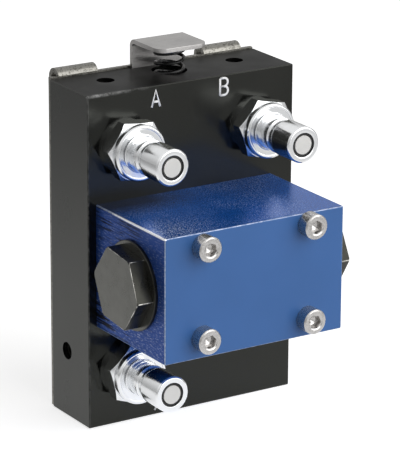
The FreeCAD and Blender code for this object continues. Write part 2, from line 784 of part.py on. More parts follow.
def valve_body():
    """The steel block with its stepped bore, ports and screw holes."""
    body = new_body("valve_body")
    sketch = sketch_on(body, "XZ_Plane", PLATE_FRONT)
    draw_box(sketch, BLOCK_LEFT, BLOCK_RIGHT, "block_centre_z - block_height / 2",
             "block_centre_z + block_height / 2")
    block = pad(body, sketch, "block_depth")
    rounding = body.newObject("PartDesign::Fillet", "Edges")
    rounding.Base = (block, outer_edges(block.Shape, -value(PLATE_FRONT)))
    bind(rounding, Radius="block_edge")
    document.recompute()
    bores = (
        ("plug_mouth_radius", "plug_mouth_depth"),
        ("plug_thread_radius", "plug_thread_length"),
        ("piston_bore_radius", PISTON_BORE_END),
        ("chamber_radius", SEAT_START),
    )
    for radius, depth in bores:
        drill(body, "YZ_Plane", BLOCK_LEFT, BORE_Y, BORE_Z, radius, depth, along_normal=True)
    for radius, depth in (("plug_mouth_radius", "plug_mouth_depth"),
                          ("plug_thread_radius", "plug_thread_length"),
                          ("seat_bore_radius", f"block_width - {SEAT_START}")):
        drill(body, "YZ_Plane", BLOCK_RIGHT, BORE_Y, BORE_Z, radius, depth)
    ports = port_places()
    for across, level in ports[:2]:
        drill(body, "XZ_Plane", PLATE_FRONT, across, level, "port_radius",
              "bore_ahead_of_plate", along_normal=True)
    across, level = ports[2]
    pilot_end = (f"({BLOCK_LEFT} + plug_thread_length + pilot_space / 2)", BORE_Y,
                 f"({BORE_Z} - chamber_radius)")
    slanted_hole(body, (across, f"-{PLATE_FRONT}", level), pilot_end, "pilot_space / 2")
    for across, level in ports:
        drill(body, "XZ_Plane", PLATE_FRONT, across, level,
              "port_seal_outer + thread_gap", "port_seal_recess",
              along_normal=True)
    for across, level in valve_screw_places():
        drill(body, "XZ_Plane", PLATE_FRONT, across, level, "screw_hole_radius",
              "block_depth", along_normal=True)
    keep(body, "valve_body")


def outer_edges(shape, seat_y):
    """Names of the block's edges that don't touch its seat on the plate."""
    return [f"Edge{number}" for number, edge in enumerate(shape.Edges, start=1)
            if edge.BoundBox.YMin < seat_y - TOUCHING]


def valve_screws():
    """Four socket head screws through the block into the plate."""
    screws = []
    for number, (across, level) in enumerate(valve_screw_places(), start=1):
        body = turned(f"valve_screw_{number}", [
            ("0", "screw_head_height"),
            ("screw_head_radius - screw_head_edge", "screw_head_height"),
            ("screw_head_radius", "screw_head_height - screw_head_edge"),
            ("screw_head_radius", "0"),
            ("screw_radius", "0"),
            ("screw_radius", "-(block_depth + screw_grip)"),
            ("0", "-(block_depth + screw_grip)"),
        ])
        hexagon(body, "PartDesign::SubtractivePrism", "screw_key_flats",
                "screw_head_height - screw_key_depth", "screw_key_depth")
        screws.append(place(body, FORWARDS, across, f"-{BLOCK_FRONT}", level))
    group = document.addObject("Part::Compound", "valve_screws")
    group.Links = screws
    keep(group, "valve_screws")


def port_seals():
    """Seal rings between the block and the plate, one round each port."""
    rings = [seal_ring(f"port_seal_{number}", "port_seal_inner", "port_seal_outer",
                       "port_seal_recess", FORWARDS, across, f"-{PLATE_FRONT}", level)
             for number, (across, level) in enumerate(port_places(), start=1)]
    group = document.addObject("Part::Compound", "port_seals")
    group.Links = rings
    keep(group, "port_seals")


def end_plug(name, facing, x, turn, pocket_depth):
    """A hexagon plug with a collar and a threaded stud, and its seal ring."""
    neck = "(plug_thread_radius - plug_undercut)"
    body = turned(f"{name}_plug", [
        ("0", "-plug_thread_length"),
        ("plug_thread_radius - thread_gap - thread_lead", "-plug_thread_length"),
        ("plug_thread_radius - thread_gap", "-plug_thread_length + thread_lead"),
        ("plug_thread_radius - thread_gap", "-plug_mouth_depth"),
        (neck, "-plug_mouth_depth"),
        (neck, "0"),
        ("plug_collar_radius", "0"),
        ("plug_collar_radius", "plug_collar_length"),
        ("0", "plug_collar_length"),
    ])
    hexagon(body, "PartDesign::AdditivePrism", "plug_flats", "plug_collar_length",
            "plug_hex_length")
    if pocket_depth:
        turned_cut(body, [
            ("0", "-plug_thread_length"),
            ("spring_pocket_radius", "-plug_thread_length"),
            ("spring_pocket_radius", f"-plug_thread_length + {pocket_depth}"),
            ("0", f"-plug_thread_length + {pocket_depth}"),
        ])
    place(body, facing, x, BORE_Y, BORE_Z, turn)
    keep(body, f"{name}_plug")
    inwards = 1 if facing is LEFTWARDS else -1
    seal = seal_ring(f"{name}_plug_seal", f"({neck} + running_gap)",
                     "(plug_mouth_radius - plug_seal_room)", "plug_mouth_depth", facing,
                     f"{x} + {inwards} * plug_mouth_depth", BORE_Y, BORE_Z)
    keep(seal, f"{name}_plug_seal")


def along_bore(body, label):
    """Lay a turned piece along the valve's bore, station nought at the left face."""
    place(body, RIGHTWARDS, BLOCK_LEFT, BORE_Y, BORE_Z)
    keep(body, label)


def valve_seat():
    """The hardened sleeve that the poppet closes against."""
    body = turned("valve_seat", [
        ("seat_hole_radius", SEAT_START),
        ("seat_bore_radius - running_gap", SEAT_START),
        ("seat_bore_radius - running_gap", SEAT_END),
        ("seat_hole_radius", SEAT_END),
    ])
    along_bore(body, "valve_seat")


def main_poppet():
    """The poppet: a nose cone, a neck, and a skirt that guides it and holds its spring."""
    skirt = "seat_bore_radius - running_gap"
    body = turned("main_poppet", [
        ("0", NOSE_TIP),
        ("nose_radius", NOSE_TIP),
        ("cone_radius", CONE_END),
        ("neck_radius", f"{CONE_END} + (cone_radius - neck_radius)"),
        ("neck_radius", SKIRT_START),
        (skirt, SKIRT_START),
        (skirt, SKIRT_END),
        ("spring_pocket_radius", SKIRT_END),
        ("spring_pocket_radius", f"{SKIRT_START} + pocket_floor"),
        ("0", f"{SKIRT_START} + pocket_floor"),
    ])
    along_bore(body, "main_poppet")


def poppet_spring():
    """The spring that closes the poppet, seated in the poppet and the right plug."""
    start = f"({SKIRT_START} + pocket_floor)"
    end = f"({RIGHT_STUD_END} + plug_pocket_depth)"
    spring = coil("poppet_spring", "poppet_spring_radius", "poppet_wire_radius",
                  "poppet_spring_turns", f"({end} - {start} - 2 * spring_seat_gap)", 4)
    seat_spring(spring, "poppet_wire_radius", RIGHTWARDS, f"{BLOCK_LEFT} + {start}",
                BORE_Y, BORE_Z)
    keep(spring, "poppet_spring")


def pilot_piston():
    """The pilot piston and its push rod, with a seal ring in its groove."""
    land = "(piston_bore_radius - running_gap)"
    groove = f"({land} - piston_seal_depth)"
    middle = f"({PISTON_FACE} + piston_length / 2)"
    body = turned("pilot_piston", [
        ("0", "plug_thread_length + running_gap"),
        ("pilot_nub_radius", "plug_thread_length + running_gap"),
        ("pilot_nub_radius", PISTON_FACE),
        (land, PISTON_FACE),
        (land, f"{middle} - piston_seal_width / 2"),
        (groove, f"{middle} - piston_seal_width / 2"),
        (groove, f"{middle} + piston_seal_width / 2"),
        (land, f"{middle} + piston_seal_width / 2"),
        (land, PISTON_END),
        ("push_rod_radius", PISTON_END),
        ("push_rod_radius", f"{NOSE_TIP} - push_rod_gap"),
        ("0", f"{NOSE_TIP} - push_rod_gap"),
    ])
    along_bore(body, "pilot_piston")
    seal = turned("piston_seal", [
        (f"{groove} + running_gap", f"{middle} - piston_seal_width / 2 + running_gap"),
        (land, f"{middle} - piston_seal_width / 2 + running_gap"),
        (land, f"{middle} + piston_seal_width / 2 - running_gap"),
        (f"{groove} + running_gap", f"{middle} + piston_seal_width / 2 - running_gap"),
    ])
    along_bore(seal, "piston_seal")


def nipple_adaptor(name, x, z, turn):
    """The hexagon adaptor that screws into the plate."""
    body = turned(f"nipple_{name}_adaptor", [
        ("0", "-stud_length"),
        ("stud_radius - thread_lead", "-stud_length"),
        ("stud_radius", "-stud_length + thread_lead"),
        ("stud_radius", "0"),
        ("nipple_collar_radius", "0"),
        ("nipple_collar_radius", "nipple_collar_length"),
        ("0", "nipple_collar_length"),
    ])
    hexagon(body, "PartDesign::AdditivePrism", "nipple_flats", "nipple_collar_length",
            "nipple_hex_length")
    hex_chamfer(body, "nipple_flats", HEX_END, 1)
    hex_chamfer(body, "nipple_flats", "nipple_collar_length", -1)
    turned_cut(body, [
        ("0", "-stud_length"),
        ("oilway_radius", "-stud_length"),
        ("oilway_radius", TAIL_END),
        ("tail_radius + thread_gap", TAIL_END),
        ("tail_radius + thread_gap", HEX_END),
        ("0", HEX_END),
    ])
    turned_cut(body, [
        ("stud_seal_inner", "0"),
        ("stud_seal_outer", "0"),
        ("stud_seal_outer", "stud_seal_depth"),
        ("stud_seal_inner", "stud_seal_depth"),
    ])
    place(body, FORWARDS, x, f"-{PLATE_FRONT}", z, value(turn))
    keep(body, f"nipple_{name}_adaptor")


def on_nipple(body, label, x, z):
    """Set a turned piece on a nipple's axis, station nought at the plate's face."""
    place(body, FORWARDS, x, f"-{PLATE_FRONT}", z)
    keep(body, label)


def nipple_body(name, x, z):
    """The flanged tip with its locking groove, mouth and poppet chamber."""
    neck = "(tip_radius - neck_relief)"
    body = turned(f"nipple_{name}_body", [
        ("nipple_guide_radius", TAIL_END),
        ("tail_radius", TAIL_END),
        ("tail_radius", HEX_END),
        ("flange_radius", HEX_END),
        ("flange_radius", f"{FLANGE_FACE} - flange_edge"),
        ("flange_radius - flange_edge", FLANGE_FACE),
        ("flange_step_radius", FLANGE_FACE),
        ("flange_step_radius", f"{FLANGE_FACE} - flange_step"),
        ("tip_radius - neck_groove_depth", f"{FLANGE_FACE} - flange_step"),
        ("tip_radius - neck_groove_depth", f"{FLANGE_FACE} + neck_groove_length"),
        (neck, f"{FLANGE_FACE} + neck_groove_length"),
        (neck, f"{TIP_BACK} - lock_groove_width"),
        ("tip_radius - lock_groove_depth",
         f"{TIP_BACK} - lock_groove_width + lock_groove_rise"),
        ("tip_radius - lock_groove_depth", f"{TIP_BACK} - lock_groove_slope"),
        ("tip_radius", TIP_BACK),
        ("tip_radius", "nipple_length - tip_edge"),
        ("tip_radius - tip_edge", "nipple_length"),
        ("mouth_radius", "nipple_length"),
        ("mouth_radius", SHOULDER),
        ("nipple_chamber_radius", SHOULDER),
        ("nipple_chamber_radius", GUIDE_FACE),
        ("nipple_guide_radius", GUIDE_FACE),
    ])
    on_nipple(body, f"nipple_{name}_body", x, z)


def nipple_inside(name, x, z):
    """Poppet, its seal, the guide behind it and the stud's seal."""
    face = "(nipple_length - poppet_face_recess)"
    seal_end = "(nipple_length - poppet_seal_recess)"
    seal_start = f"({seal_end} - poppet_seal_length)"
    head = "(mouth_radius - running_gap)"
    stem_end = f"({TAIL_END} - stem_overhang)"
    poppet = turned(f"nipple_{name}_poppet", [
        ("0", stem_end),
        ("nipple_stem_radius", stem_end),
        ("nipple_stem_radius", COLLAR_BACK),
        ("nipple_chamber_radius - poppet_face_recess", COLLAR_BACK),
        ("nipple_chamber_radius - poppet_face_recess", f"{SHOULDER} - running_gap"),
        (head, f"{SHOULDER} - running_gap"),
        (head, seal_start),
        ("poppet_face_radius", seal_start),
        ("poppet_face_radius", face),
        ("0", face),
    ])
    on_nipple(poppet, f"nipple_{name}_poppet", x, z)
    seal = turned(f"nipple_{name}_poppet_seal", [
        ("poppet_face_radius + running_gap", f"{seal_start} + running_gap"),
        (head, f"{seal_start} + running_gap"),
        (head, seal_end),
        ("poppet_face_radius + running_gap", seal_end),
    ])
    on_nipple(seal, f"nipple_{name}_poppet_seal", x, z)
    guide = turned(f"nipple_{name}_guide", [
        ("nipple_stem_radius + running_gap", TAIL_END),
        ("nipple_guide_radius - running_gap", TAIL_END),
        ("nipple_guide_radius - running_gap", GUIDE_FACE),
        ("nipple_stem_radius + running_gap", GUIDE_FACE),
    ])
    reach = "(oilway_radius - running_gap)"
    half = "(guide_slot_width / 2)"
    for sides in ((f"-{reach}", reach, f"-{half}", half), (f"-{half}", half, f"-{reach}", reach)):
        slots = sketch_on(guide, "XY_Plane", GUIDE_FACE)
        draw_box(slots, *sides)
        pocket(guide, slots, "nipple_guide_length")
    on_nipple(guide, f"nipple_{name}_guide", x, z)
    stud_seal = turned(f"nipple_{name}_stud_seal", [
        ("stud_seal_inner + running_gap", "0"),
        ("stud_seal_outer - running_gap", "0"),
        ("stud_seal_outer - running_gap", "stud_seal_depth - running_gap"),
        ("stud_seal_inner + running_gap", "stud_seal_depth - running_gap"),
    ])
    on_nipple(stud_seal, f"nipple_{name}_stud_seal", x, z)


def nipple_spring(name, x, z):
    """The spring that holds a nipple's poppet shut."""
    length = f"({COLLAR_BACK} - {GUIDE_FACE} - 2 * spring_seat_gap)"
    spring = coil(f"nipple_{name}_spring", "nipple_spring_radius", "nipple_wire_radius",
                  "nipple_spring_turns", length, 4)
    seat_spring(spring, "nipple_wire_radius", FORWARDS, x,
                f"-({PLATE_FRONT} + {GUIDE_FACE})", z)
    keep(spring, f"nipple_{name}_spring")


def check_pieces():
    """Stop if any object failed or any piece has no sound shape."""
    for item in document.Objects:
        if "Invalid" in item.State or "Error" in item.State:
            raise RuntimeError(f"{item.Label} failed: {item.State}")
    for label, item in nodes.items():
        shape = item.Shape
        if shape.isNull() or not shape.isValid() or not shape.Solids:
            raise RuntimeError(f"{label} has no sound solid")


def write_pieces():
    """Write every piece to its own file."""
    os.makedirs("parts", exist_ok=True)
    for label, item in nodes.items():
        item.Shape.exportStep(f"parts/{label}.step")
        box = item.Shape.BoundBox
        print(f"{label}: {len(item.Shape.Solids)} solid, {item.Shape.Volume:.0f} mm3, "
              f"{box.XLength:.1f} x {box.YLength:.1f} x {box.ZLength:.1f}")


def build():
    """Make every piece of the valve."""
    fill_sheet()
    connection_plate()
    channel_plugs()
    hook_plate()
    sheet_screws()
    latch_slide()
    latch_spring()
    valve_body()
    valve_screws()
    port_seals()
    end_plug("left", LEFTWARDS, BLOCK_LEFT, value("left_plug_turn"), None)
    end_plug("right", RIGHTWARDS, BLOCK_RIGHT, value("right_plug_turn"), "plug_pocket_depth")
    valve_seat()
    main_poppet()
    poppet_spring()
    pilot_piston()
    for name, x, z, turn in nipple_places():
        nipple_adaptor(name, x, z, turn)
        nipple_body(name, x, z)
        nipple_inside(name, x, z)
        nipple_spring(name, x, z)
    document.recompute()
    check_pieces()
    write_pieces()


build()
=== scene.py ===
import json
import math

import bpy
from mathutils import Matrix, Vector


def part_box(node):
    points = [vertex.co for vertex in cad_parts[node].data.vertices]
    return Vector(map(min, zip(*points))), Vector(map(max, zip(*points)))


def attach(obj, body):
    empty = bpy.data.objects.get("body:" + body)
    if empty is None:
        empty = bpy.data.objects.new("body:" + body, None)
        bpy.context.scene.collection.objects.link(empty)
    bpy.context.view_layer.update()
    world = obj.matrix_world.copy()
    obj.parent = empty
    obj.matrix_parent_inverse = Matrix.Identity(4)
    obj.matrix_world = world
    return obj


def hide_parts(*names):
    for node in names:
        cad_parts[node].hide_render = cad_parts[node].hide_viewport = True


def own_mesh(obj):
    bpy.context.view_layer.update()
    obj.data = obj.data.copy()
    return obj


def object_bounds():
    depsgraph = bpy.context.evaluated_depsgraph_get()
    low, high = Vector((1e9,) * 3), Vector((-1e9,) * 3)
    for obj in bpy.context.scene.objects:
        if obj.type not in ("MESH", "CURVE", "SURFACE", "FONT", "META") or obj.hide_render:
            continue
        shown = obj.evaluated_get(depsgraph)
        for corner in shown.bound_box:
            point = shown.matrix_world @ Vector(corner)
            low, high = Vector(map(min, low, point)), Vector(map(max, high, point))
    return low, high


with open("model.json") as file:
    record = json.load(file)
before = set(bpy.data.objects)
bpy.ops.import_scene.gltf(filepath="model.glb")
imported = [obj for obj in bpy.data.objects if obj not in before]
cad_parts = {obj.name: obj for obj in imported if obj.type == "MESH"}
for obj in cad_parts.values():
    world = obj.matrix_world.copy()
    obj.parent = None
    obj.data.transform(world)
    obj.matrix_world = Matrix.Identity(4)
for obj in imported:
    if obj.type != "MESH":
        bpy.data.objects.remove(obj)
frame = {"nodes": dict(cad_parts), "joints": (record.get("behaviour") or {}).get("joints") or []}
cad_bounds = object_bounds()

MM = 0.001

# The image and the photograph's viewpoint, in pixels, millimetres of film, degrees and metres.
IMAGE_HEIGHT = 461
SENSOR = 36.0
FOCAL_PIXELS = 3015.35
CAMERA_YAW = -32.253
CAMERA_PITCH = 17.935
CAMERA_ROLL = 0.273
CAMERA_DISTANCE = 1.00979
CAMERA_TARGET = Vector((0.0033, -0.026, 0.00488))
CAMERA_REACH = 20

LEFT = Vector((-1, 0, 0))
RIGHT = Vector((1, 0, 0))
FRONT = Vector((0, -1, 0))
UP = Vector((0, 0, 1))
DOWN = Vector((0, 0, -1))

# How finely round forms are cut: their sides, a coil's points in a turn, and a wire's steps.
SIDES = 96
SCREW_SIDES = 64
DRILL_SIDES = 48
COIL_POINTS = 32
COIL_ROUNDNESS = 3
LETTER_ROUNDNESS = 2

# What counts as one point, as flat, as smooth, as sharp, and as facing a way.
MERGE = 0.002 * MM
FLAT_ANGLE = math.radians(1)
SMOOTH_ANGLE = math.radians(32)
SHARP_ANGLE = math.radians(30)
FACING = 0.99

# How wide the broken edges are, in millimetres, and past which angles, in degrees.
PLATE_EDGE = 0.1
HOOK_EDGE = 0.12
LATCH_EDGE = 0.16
HEXAGON_EDGE = 0.1
TIP_EDGE = 0.12
RING_EDGE = 0.1
SCREW_EDGE = 0.09
FLAT_PIECE_ANGLE = 30
HEXAGON_ANGLE = 24
TURNED_ANGLE = 20

# A plug's rubbed edges: their width, their least length and the station that they lie above.
PLUG_EDGE = 0.25
PLUG_EDGE_LENGTH = 2.5
PLUG_EDGE_FOOT = 1.5
PLUG_EDGE_STEPS = 3

# Sizes that the scene's own pieces share with the solids, in millimetres. Round forms have
# their radius here, and lengths run from a piece's foot. Turns are in degrees.
PLATE_FRONT = -26.0
LEAD = 0.5
NIPPLE_TURNS = {"a": -4.5, "b": -11.5, "x": -17.0}
NIPPLE_FLATS = 19.0
HEXAGON_START = 1.6
HEXAGON_END = 7.2
FLANGE = 9.45
NIPPLE_STUD = 6.5
NIPPLE_BORE = 4.2
STUD_LENGTH = 10.0
TIP = 6.2
TIP_NECK = 5.4
TIP_SLEEVE = 6.0
TIP_END = 28.7
TIP_CHAMBER = 4.7
TIP_MOUTH = 4.15
MOUTH_START = 25.2
POPPET_STEM = 2.0
POPPET_HEAD = 4.1
POPPET_STOP = 4.6
POPPET_RIM = 3.2
RING_INSIDE = 3.25
RING_OUTSIDE = 4.08
RING_START = 26.95
RING_END = 28.3
PLUG_FLATS = 24.0
PLUG_TOP = 6.8
PLUG_STUD = 10.95
PLUG_RELIEF = 9.9
PLUG_COLLAR = 15.0
COLLAR_TOP = 1.1
LEFT_PLUG_TURN = 23.0
RIGHT_PLUG_TURN = 33.0
SPRING_POCKET = 5.0
SPRING_POCKET_DEPTH = 3.5
SCREW_SHANK = 2.5
SCREW_LENGTH = 51.0
SCREW_HEAD = 4.25
SCREW_HEAD_HEIGHT = 5.0
SCREW_KEY = 4.0
SCREW_KEY_FLOOR = 2.5
SCREW_KEY_TURNS = (12, 40, -8, 25)
SCREW_SPANS = (15.5, 16.25)

# A spring's end turns: how many at each end, and how much they rise beside the others.
END_TURNS = 0.75
END_RISE = 0.35

# The port letters: places, half height and half stroke in millimetres, and how flat they are.
LETTER_A = (-14.0, 53.2)
LETTER_B = (12.4, 53.5)
LETTER_X = (-12.9, -53.0)
LETTER_HALF = 2.9
LETTER_STROKE = 0.4
LETTER_FLATNESS = 0.12

# The light, in metres and watts, how strongly the room lights the part, and the floor.
KEY_PLACE = Vector((0.8, -1.4, 0.7))
KEY_TARGET = Vector((0, -0.03, 0))
KEY_SIZE = 2.4
KEY_POWER = 42
WORLD_FILL = 0.17
WORLD_HORIZON = 0.5
FLOOR_WHITE = 0.72
FLOOR_SIZE = 8
FLOOR_GAP = 0.2 * MM

# What most of a noise pattern lies between, and how far the wear of an edge reaches.
NOISE_SPAN = (0.3, 0.7)
EDGE_WEAR = 0.5 * MM


def linear(part):
    """One part of a screen colour, 0 to 255, as light."""
    share = part / 255
    if share <= 0.04045:
        return share / 12.92
    return ((share + 0.055) / 1.055) ** 2.4


def srgb(red, green, blue):
    """A colour given as it looks on the screen, as a shader wants it."""
    return (linear(red), linear(green), linear(blue), 1.0)


def grey(part):
    """A neutral colour given as it looks on the screen."""
    return srgb(part, part, part)


# Building pieces


def alone(piece):
    """Select one object and nothing else."""
    bpy.ops.object.select_all(action="DESELECT")
    piece.select_set(True)
    bpy.context.view_layer.objects.active = piece


def settle(piece):
    """Put an object's place and turn into its mesh."""
    alone(piece)
    bpy.ops.object.transform_apply(location=True, rotation=True, scale=True)
    return piece


def facing(outwards, across, turn=0.0):
    """The turn that points a primitive's top outwards, with its X side across."""
    side = Vector(outwards).cross(across)
    base = Matrix((across, side, outwards)).transposed()
    return (Matrix.Rotation(math.radians(turn), 3, outwards) @ base).to_euler()


def across_of(outwards):
    """A direction square to the axis, the same each time."""
    return UP if abs(outwards.dot(UP)) < 0.9 else RIGHT


def corner_of(flats):
    """A hexagon's radius at its corners."""
    return flats / 2 / math.cos(math.pi / 6)


def edit(piece):
    """Open a piece's mesh for work on it."""
    alone(piece)
    bpy.ops.object.mode_set(mode="EDIT")


def close_edit():
    """Finish with the mesh, with its faces turned outwards."""
    bpy.ops.mesh.select_all(action="SELECT")
    bpy.ops.mesh.remove_doubles(threshold=MERGE)
    bpy.ops.mesh.normals_make_consistent(inside=False)
    bpy.ops.object.mode_set(mode="OBJECT")


def turned(name, spot, outwards, outline, hollow=False, sides=SIDES):
    """A turned piece, drawn out along its axis through radii and stations in millimetres."""
    bpy.ops.object.select_all(action="DESELECT")
    radius, station = outline[0]
    place = spot + outwards * station * MM
    fill = "NOTHING" if hollow else "NGON"
    bpy.ops.mesh.primitive_circle_add(vertices=sides, radius=radius * MM, fill_type=fill,
                                      location=place,
                                      rotation=facing(outwards, across_of(outwards)))
    piece = bpy.context.active_object
    piece.name = name
    bpy.ops.object.mode_set(mode="EDIT")
    bpy.ops.mesh.select_all(action="SELECT")
    steps = outline[1:] + outline[:1] if hollow else outline[1:]
    for next_radius, next_station in steps:
        step = outwards * (next_station - station) * MM
        bpy.ops.mesh.extrude_region_move(TRANSFORM_OT_translate={"value": step})
        scale = next_radius / radius
        centre = spot + outwards * next_station * MM
        bpy.ops.transform.resize(value=(scale, scale, scale), center_override=centre)
        radius, station = next_radius, next_station
    close_edit()
    return settle(piece)


def six_sided(name, spot, outwards, across, flats, start, end, turn):
    """A hexagon bar between two stations, with a corner turned from the across side."""
    bpy.ops.object.select_all(action="DESELECT")
    middle = spot + outwards * (start + end) / 2 * MM
    bpy.ops.mesh.primitive_cylinder_add(vertices=6, radius=corner_of(flats) * MM,
                                        depth=(end - start) * MM, location=middle,
                                        rotation=facing(outwards, across, turn - 90))
    piece = bpy.context.active_object
    piece.name = name
    return settle(piece)


def wire(name, lines, radius, roundness):
    """Round wire along lines of points, as a closed mesh."""
    data = bpy.data.curves.new(name, "CURVE")
    data.dimensions = "3D"
    data.bevel_depth = radius * MM
    data.bevel_resolution = roundness
    data.use_fill_caps = True
    for points in lines:
        line = data.splines.new("POLY")
        line.points.add(len(points) - 1)
        for spot, point in zip(line.points, points):
            spot.co = (*point, 1)
    piece = bpy.data.objects.new(name, data)
    bpy.context.scene.collection.objects.link(piece)
    alone(piece)
    bpy.ops.object.convert(target="MESH")
    piece = bpy.context.active_object
    edit(piece)
    close_edit()
    return piece


def combine(piece, tool, operation):
    """Join, cut or intersect a piece with a second one, which goes."""
    alone(piece)
    modifier = piece.modifiers.new("combine", "BOOLEAN")
    modifier.object = tool
    modifier.operation = operation
    modifier.solver = "EXACT"
    bpy.ops.object.modifier_apply(modifier=modifier.name)
    bpy.data.objects.remove(tool)
    edit(piece)
    close_edit()
    return piece


def break_edges(piece, width, angle, segments=2):
    """Round a piece's edges a little, where they are sharper than an angle in degrees."""
    alone(piece)
    modifier = piece.modifiers.new("edges", "BEVEL")
    modifier.width = width * MM
    modifier.segments = segments
    modifier.limit_method = "ANGLE"
    modifier.angle_limit = math.radians(angle)
    modifier.use_clamp_overlap = True
    bpy.ops.object.modifier_apply(modifier=modifier.name)
    return shade(piece)


def pick_sharp_edges(piece, foot, outwards, shortest, above):
    """Select a piece's long sharp edges that lie above a station, and nothing else."""
    edit(piece)
    bpy.ops.mesh.select_mode(type="EDGE")
    bpy.ops.mesh.select_all(action="DESELECT")
    bpy.ops.mesh.edges_select_sharp(sharpness=SHARP_ANGLE)
    bpy.ops.object.mode_set(mode="OBJECT")
    mesh = piece.data
    picked = []
    for line in mesh.edges:
        first, second = (mesh.vertices[number].co for number in line.vertices)
        station = ((first + second) / 2 - foot).dot(outwards)
        if line.select and (second - first).length > shortest * MM and station > above * MM:
            picked.append(line)
    for part in [*mesh.vertices, *mesh.edges, *mesh.polygons]:
        part.select = False
    for line in picked:
        line.select = True
        for number in line.vertices:
            mesh.vertices[number].select = True


def rub_picked_edges(piece, width, steps, material):
    """Round the selected edges, in a material of their own."""
    piece.data.materials.append(material)
    bpy.ops.object.mode_set(mode="EDIT")
    bpy.ops.mesh.bevel(offset=width * MM, segments=steps, affect="EDGES", clamp_overlap=False,
                       material=len(piece.data.materials) - 1)
    bpy.ops.mesh.select_mode(type="VERT")
    bpy.ops.object.mode_set(mode="OBJECT")
    return shade(piece)


def shade(piece):
    """Shade round faces smooth, and keep flat faces flat beside them."""
    alone(piece)
    bpy.ops.object.shade_smooth_by_angle(angle=SMOOTH_ANGLE)
    modifier = piece.modifiers.new("shading", "WEIGHTED_NORMAL")
    modifier.keep_sharp = True
    modifier.weight = 100
    bpy.ops.object.modifier_apply(modifier=modifier.name)
    return piece


def merged_copy(node, name):
    """A copy of a carried-over piece with its loose triangles made into whole faces."""
    source = frame["nodes"][node]
    piece = bpy.data.objects.new(name, source.data.copy())
    bpy.context.scene.collection.objects.link(piece)
    edit(piece)
    bpy.ops.mesh.select_all(action="SELECT")
    bpy.ops.mesh.remove_doubles(threshold=MERGE)
    bpy.ops.mesh.dissolve_limited(angle_limit=FLAT_ANGLE)
    bpy.ops.object.mode_set(mode="OBJECT")
    return piece


def fit(piece, body, slot, material, *nodes):
    """Give a finished piece its material, its body and the nodes that it stands for."""
    piece.data.materials.clear()
    piece.data.materials.append(material)
    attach(piece, body)
    if nodes:
        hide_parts(*nodes)
    return piece


def give_faces(piece, material, direction):
    """Give the flat faces that look one way a material of their own."""
    slots = piece.data.materials
    if material.name not in slots:
        slots.append(material)
    number = slots.find(material.name)
    for face in piece.data.polygons:
        if face.normal.dot(direction) > FACING:
            face.material_index = number


def dress(node, material):
    """Give a carried-over piece one material all over."""
    mesh = frame["nodes"][node].data
    mesh.materials.clear()
    mesh.materials.append(material)


def joined(pieces):
    """Several pieces as one."""
    bpy.ops.object.select_all(action="DESELECT")
    for piece in pieces:
        piece.select_set(True)
    bpy.context.view_layer.objects.active = pieces[0]
    bpy.ops.object.join()
    return pieces[0]


def axis_of(node, outwards):
    """The point where a round node's axis passes its rear end, outwards being the front."""
    low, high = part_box(node)
    middle = (low + high) / 2
    rear = low if sum(outwards) > 0 else high
    along = Vector(abs(part) for part in outwards)
    return middle - along * (middle - rear).dot(along)


# Material parts


def new_material(name, colour, metallic=0.0, roughness=0.4, specular=0.5):
    """A material whose plain values sit on the shader's own sockets."""
    material = bpy.data.materials.new(name)
    material.use_nodes = True
    shader = shader_of(material)
    shader.inputs["Base Color"].default_value = colour
    shader.inputs["Metallic"].default_value = metallic
    shader.inputs["Roughness"].default_value = roughness
    shader.inputs["Specular IOR Level"].default_value = specular
    return material


def shader_of(material):
    """The node that a material's values go to."""
    return material.node_tree.nodes["Principled BSDF"]


def mapped(tree, centre=(0, 0, 0), scale=(1, 1, 1)):
    """Object coordinates, measured from a centre and stretched by a scale."""
    source = tree.nodes.new("ShaderNodeTexCoord")
    mapping = tree.nodes.new("ShaderNodeMapping")
    mapping.inputs["Scale"].default_value = scale
    mapping.inputs["Location"].default_value = [-c * s for c, s in zip(centre, scale)]
    tree.links.new(source.outputs["Object"], mapping.inputs["Vector"])
    return mapping.outputs["Vector"]


def parts_of(tree, vector):
    """The three parts of a vector."""
    node = tree.nodes.new("ShaderNodeSeparateXYZ")
    tree.links.new(vector, node.inputs[0])
    return tuple(node.outputs)


def length_of(tree, vector):
    """A vector's length."""
    node = tree.nodes.new("ShaderNodeVectorMath")
    node.operation = "LENGTH"
    tree.links.new(vector, node.inputs[0])
    return node.outputs["Value"]


def noise(tree, vector, scale, detail=3.0, rough=0.5):
    """A soft random pattern, with its scale in waves to the metre."""
    node = tree.nodes.new("ShaderNodeTexNoise")
    node.inputs["Scale"].default_value = scale
    node.inputs["Detail"].default_value = detail
    node.inputs["Roughness"].default_value = rough
    tree.links.new(vector, node.inputs["Vector"])
    return node.outputs["Fac"]


def lathe_marks(tree, centre, outwards, scale):
    """Fine random rings round an axis."""
    flat = [0.0 if abs(part) > 0.5 else 1.0 for part in outwards]
    node = tree.nodes.new("ShaderNodeTexNoise")
    node.noise_dimensions = "1D"
    node.inputs["Scale"].default_value = scale
    tree.links.new(length_of(tree, mapped(tree, centre, flat)), node.inputs["W"])
    return node.outputs["Fac"]


def spread(tree, value, low, high, to_low=0.0, to_high=1.0, smooth=False):
    """Spread a value between two others over a new range."""
    node = tree.nodes.new("ShaderNodeMapRange")
    if smooth:
        node.interpolation_type = "SMOOTHSTEP"
    node.inputs["From Min"].default_value = low
    node.inputs["From Max"].default_value = high
    node.inputs["To Min"].default_value = to_low
    node.inputs["To Max"].default_value = to_high
    tree.links.new(value, node.inputs["Value"])
    return node.outputs["Result"]


def calculate(tree, operation, first, second=0.0):
    """One step of arithmetic with one or two outputs or numbers."""
    node = tree.nodes.new("ShaderNodeMath")
    node.operation = operation
    for socket, item in zip(node.inputs, (first, second)):
        if isinstance(item, (int, float)):
            socket.default_value = item
        else:
            tree.links.new(item, socket)
    return node.outputs[0]


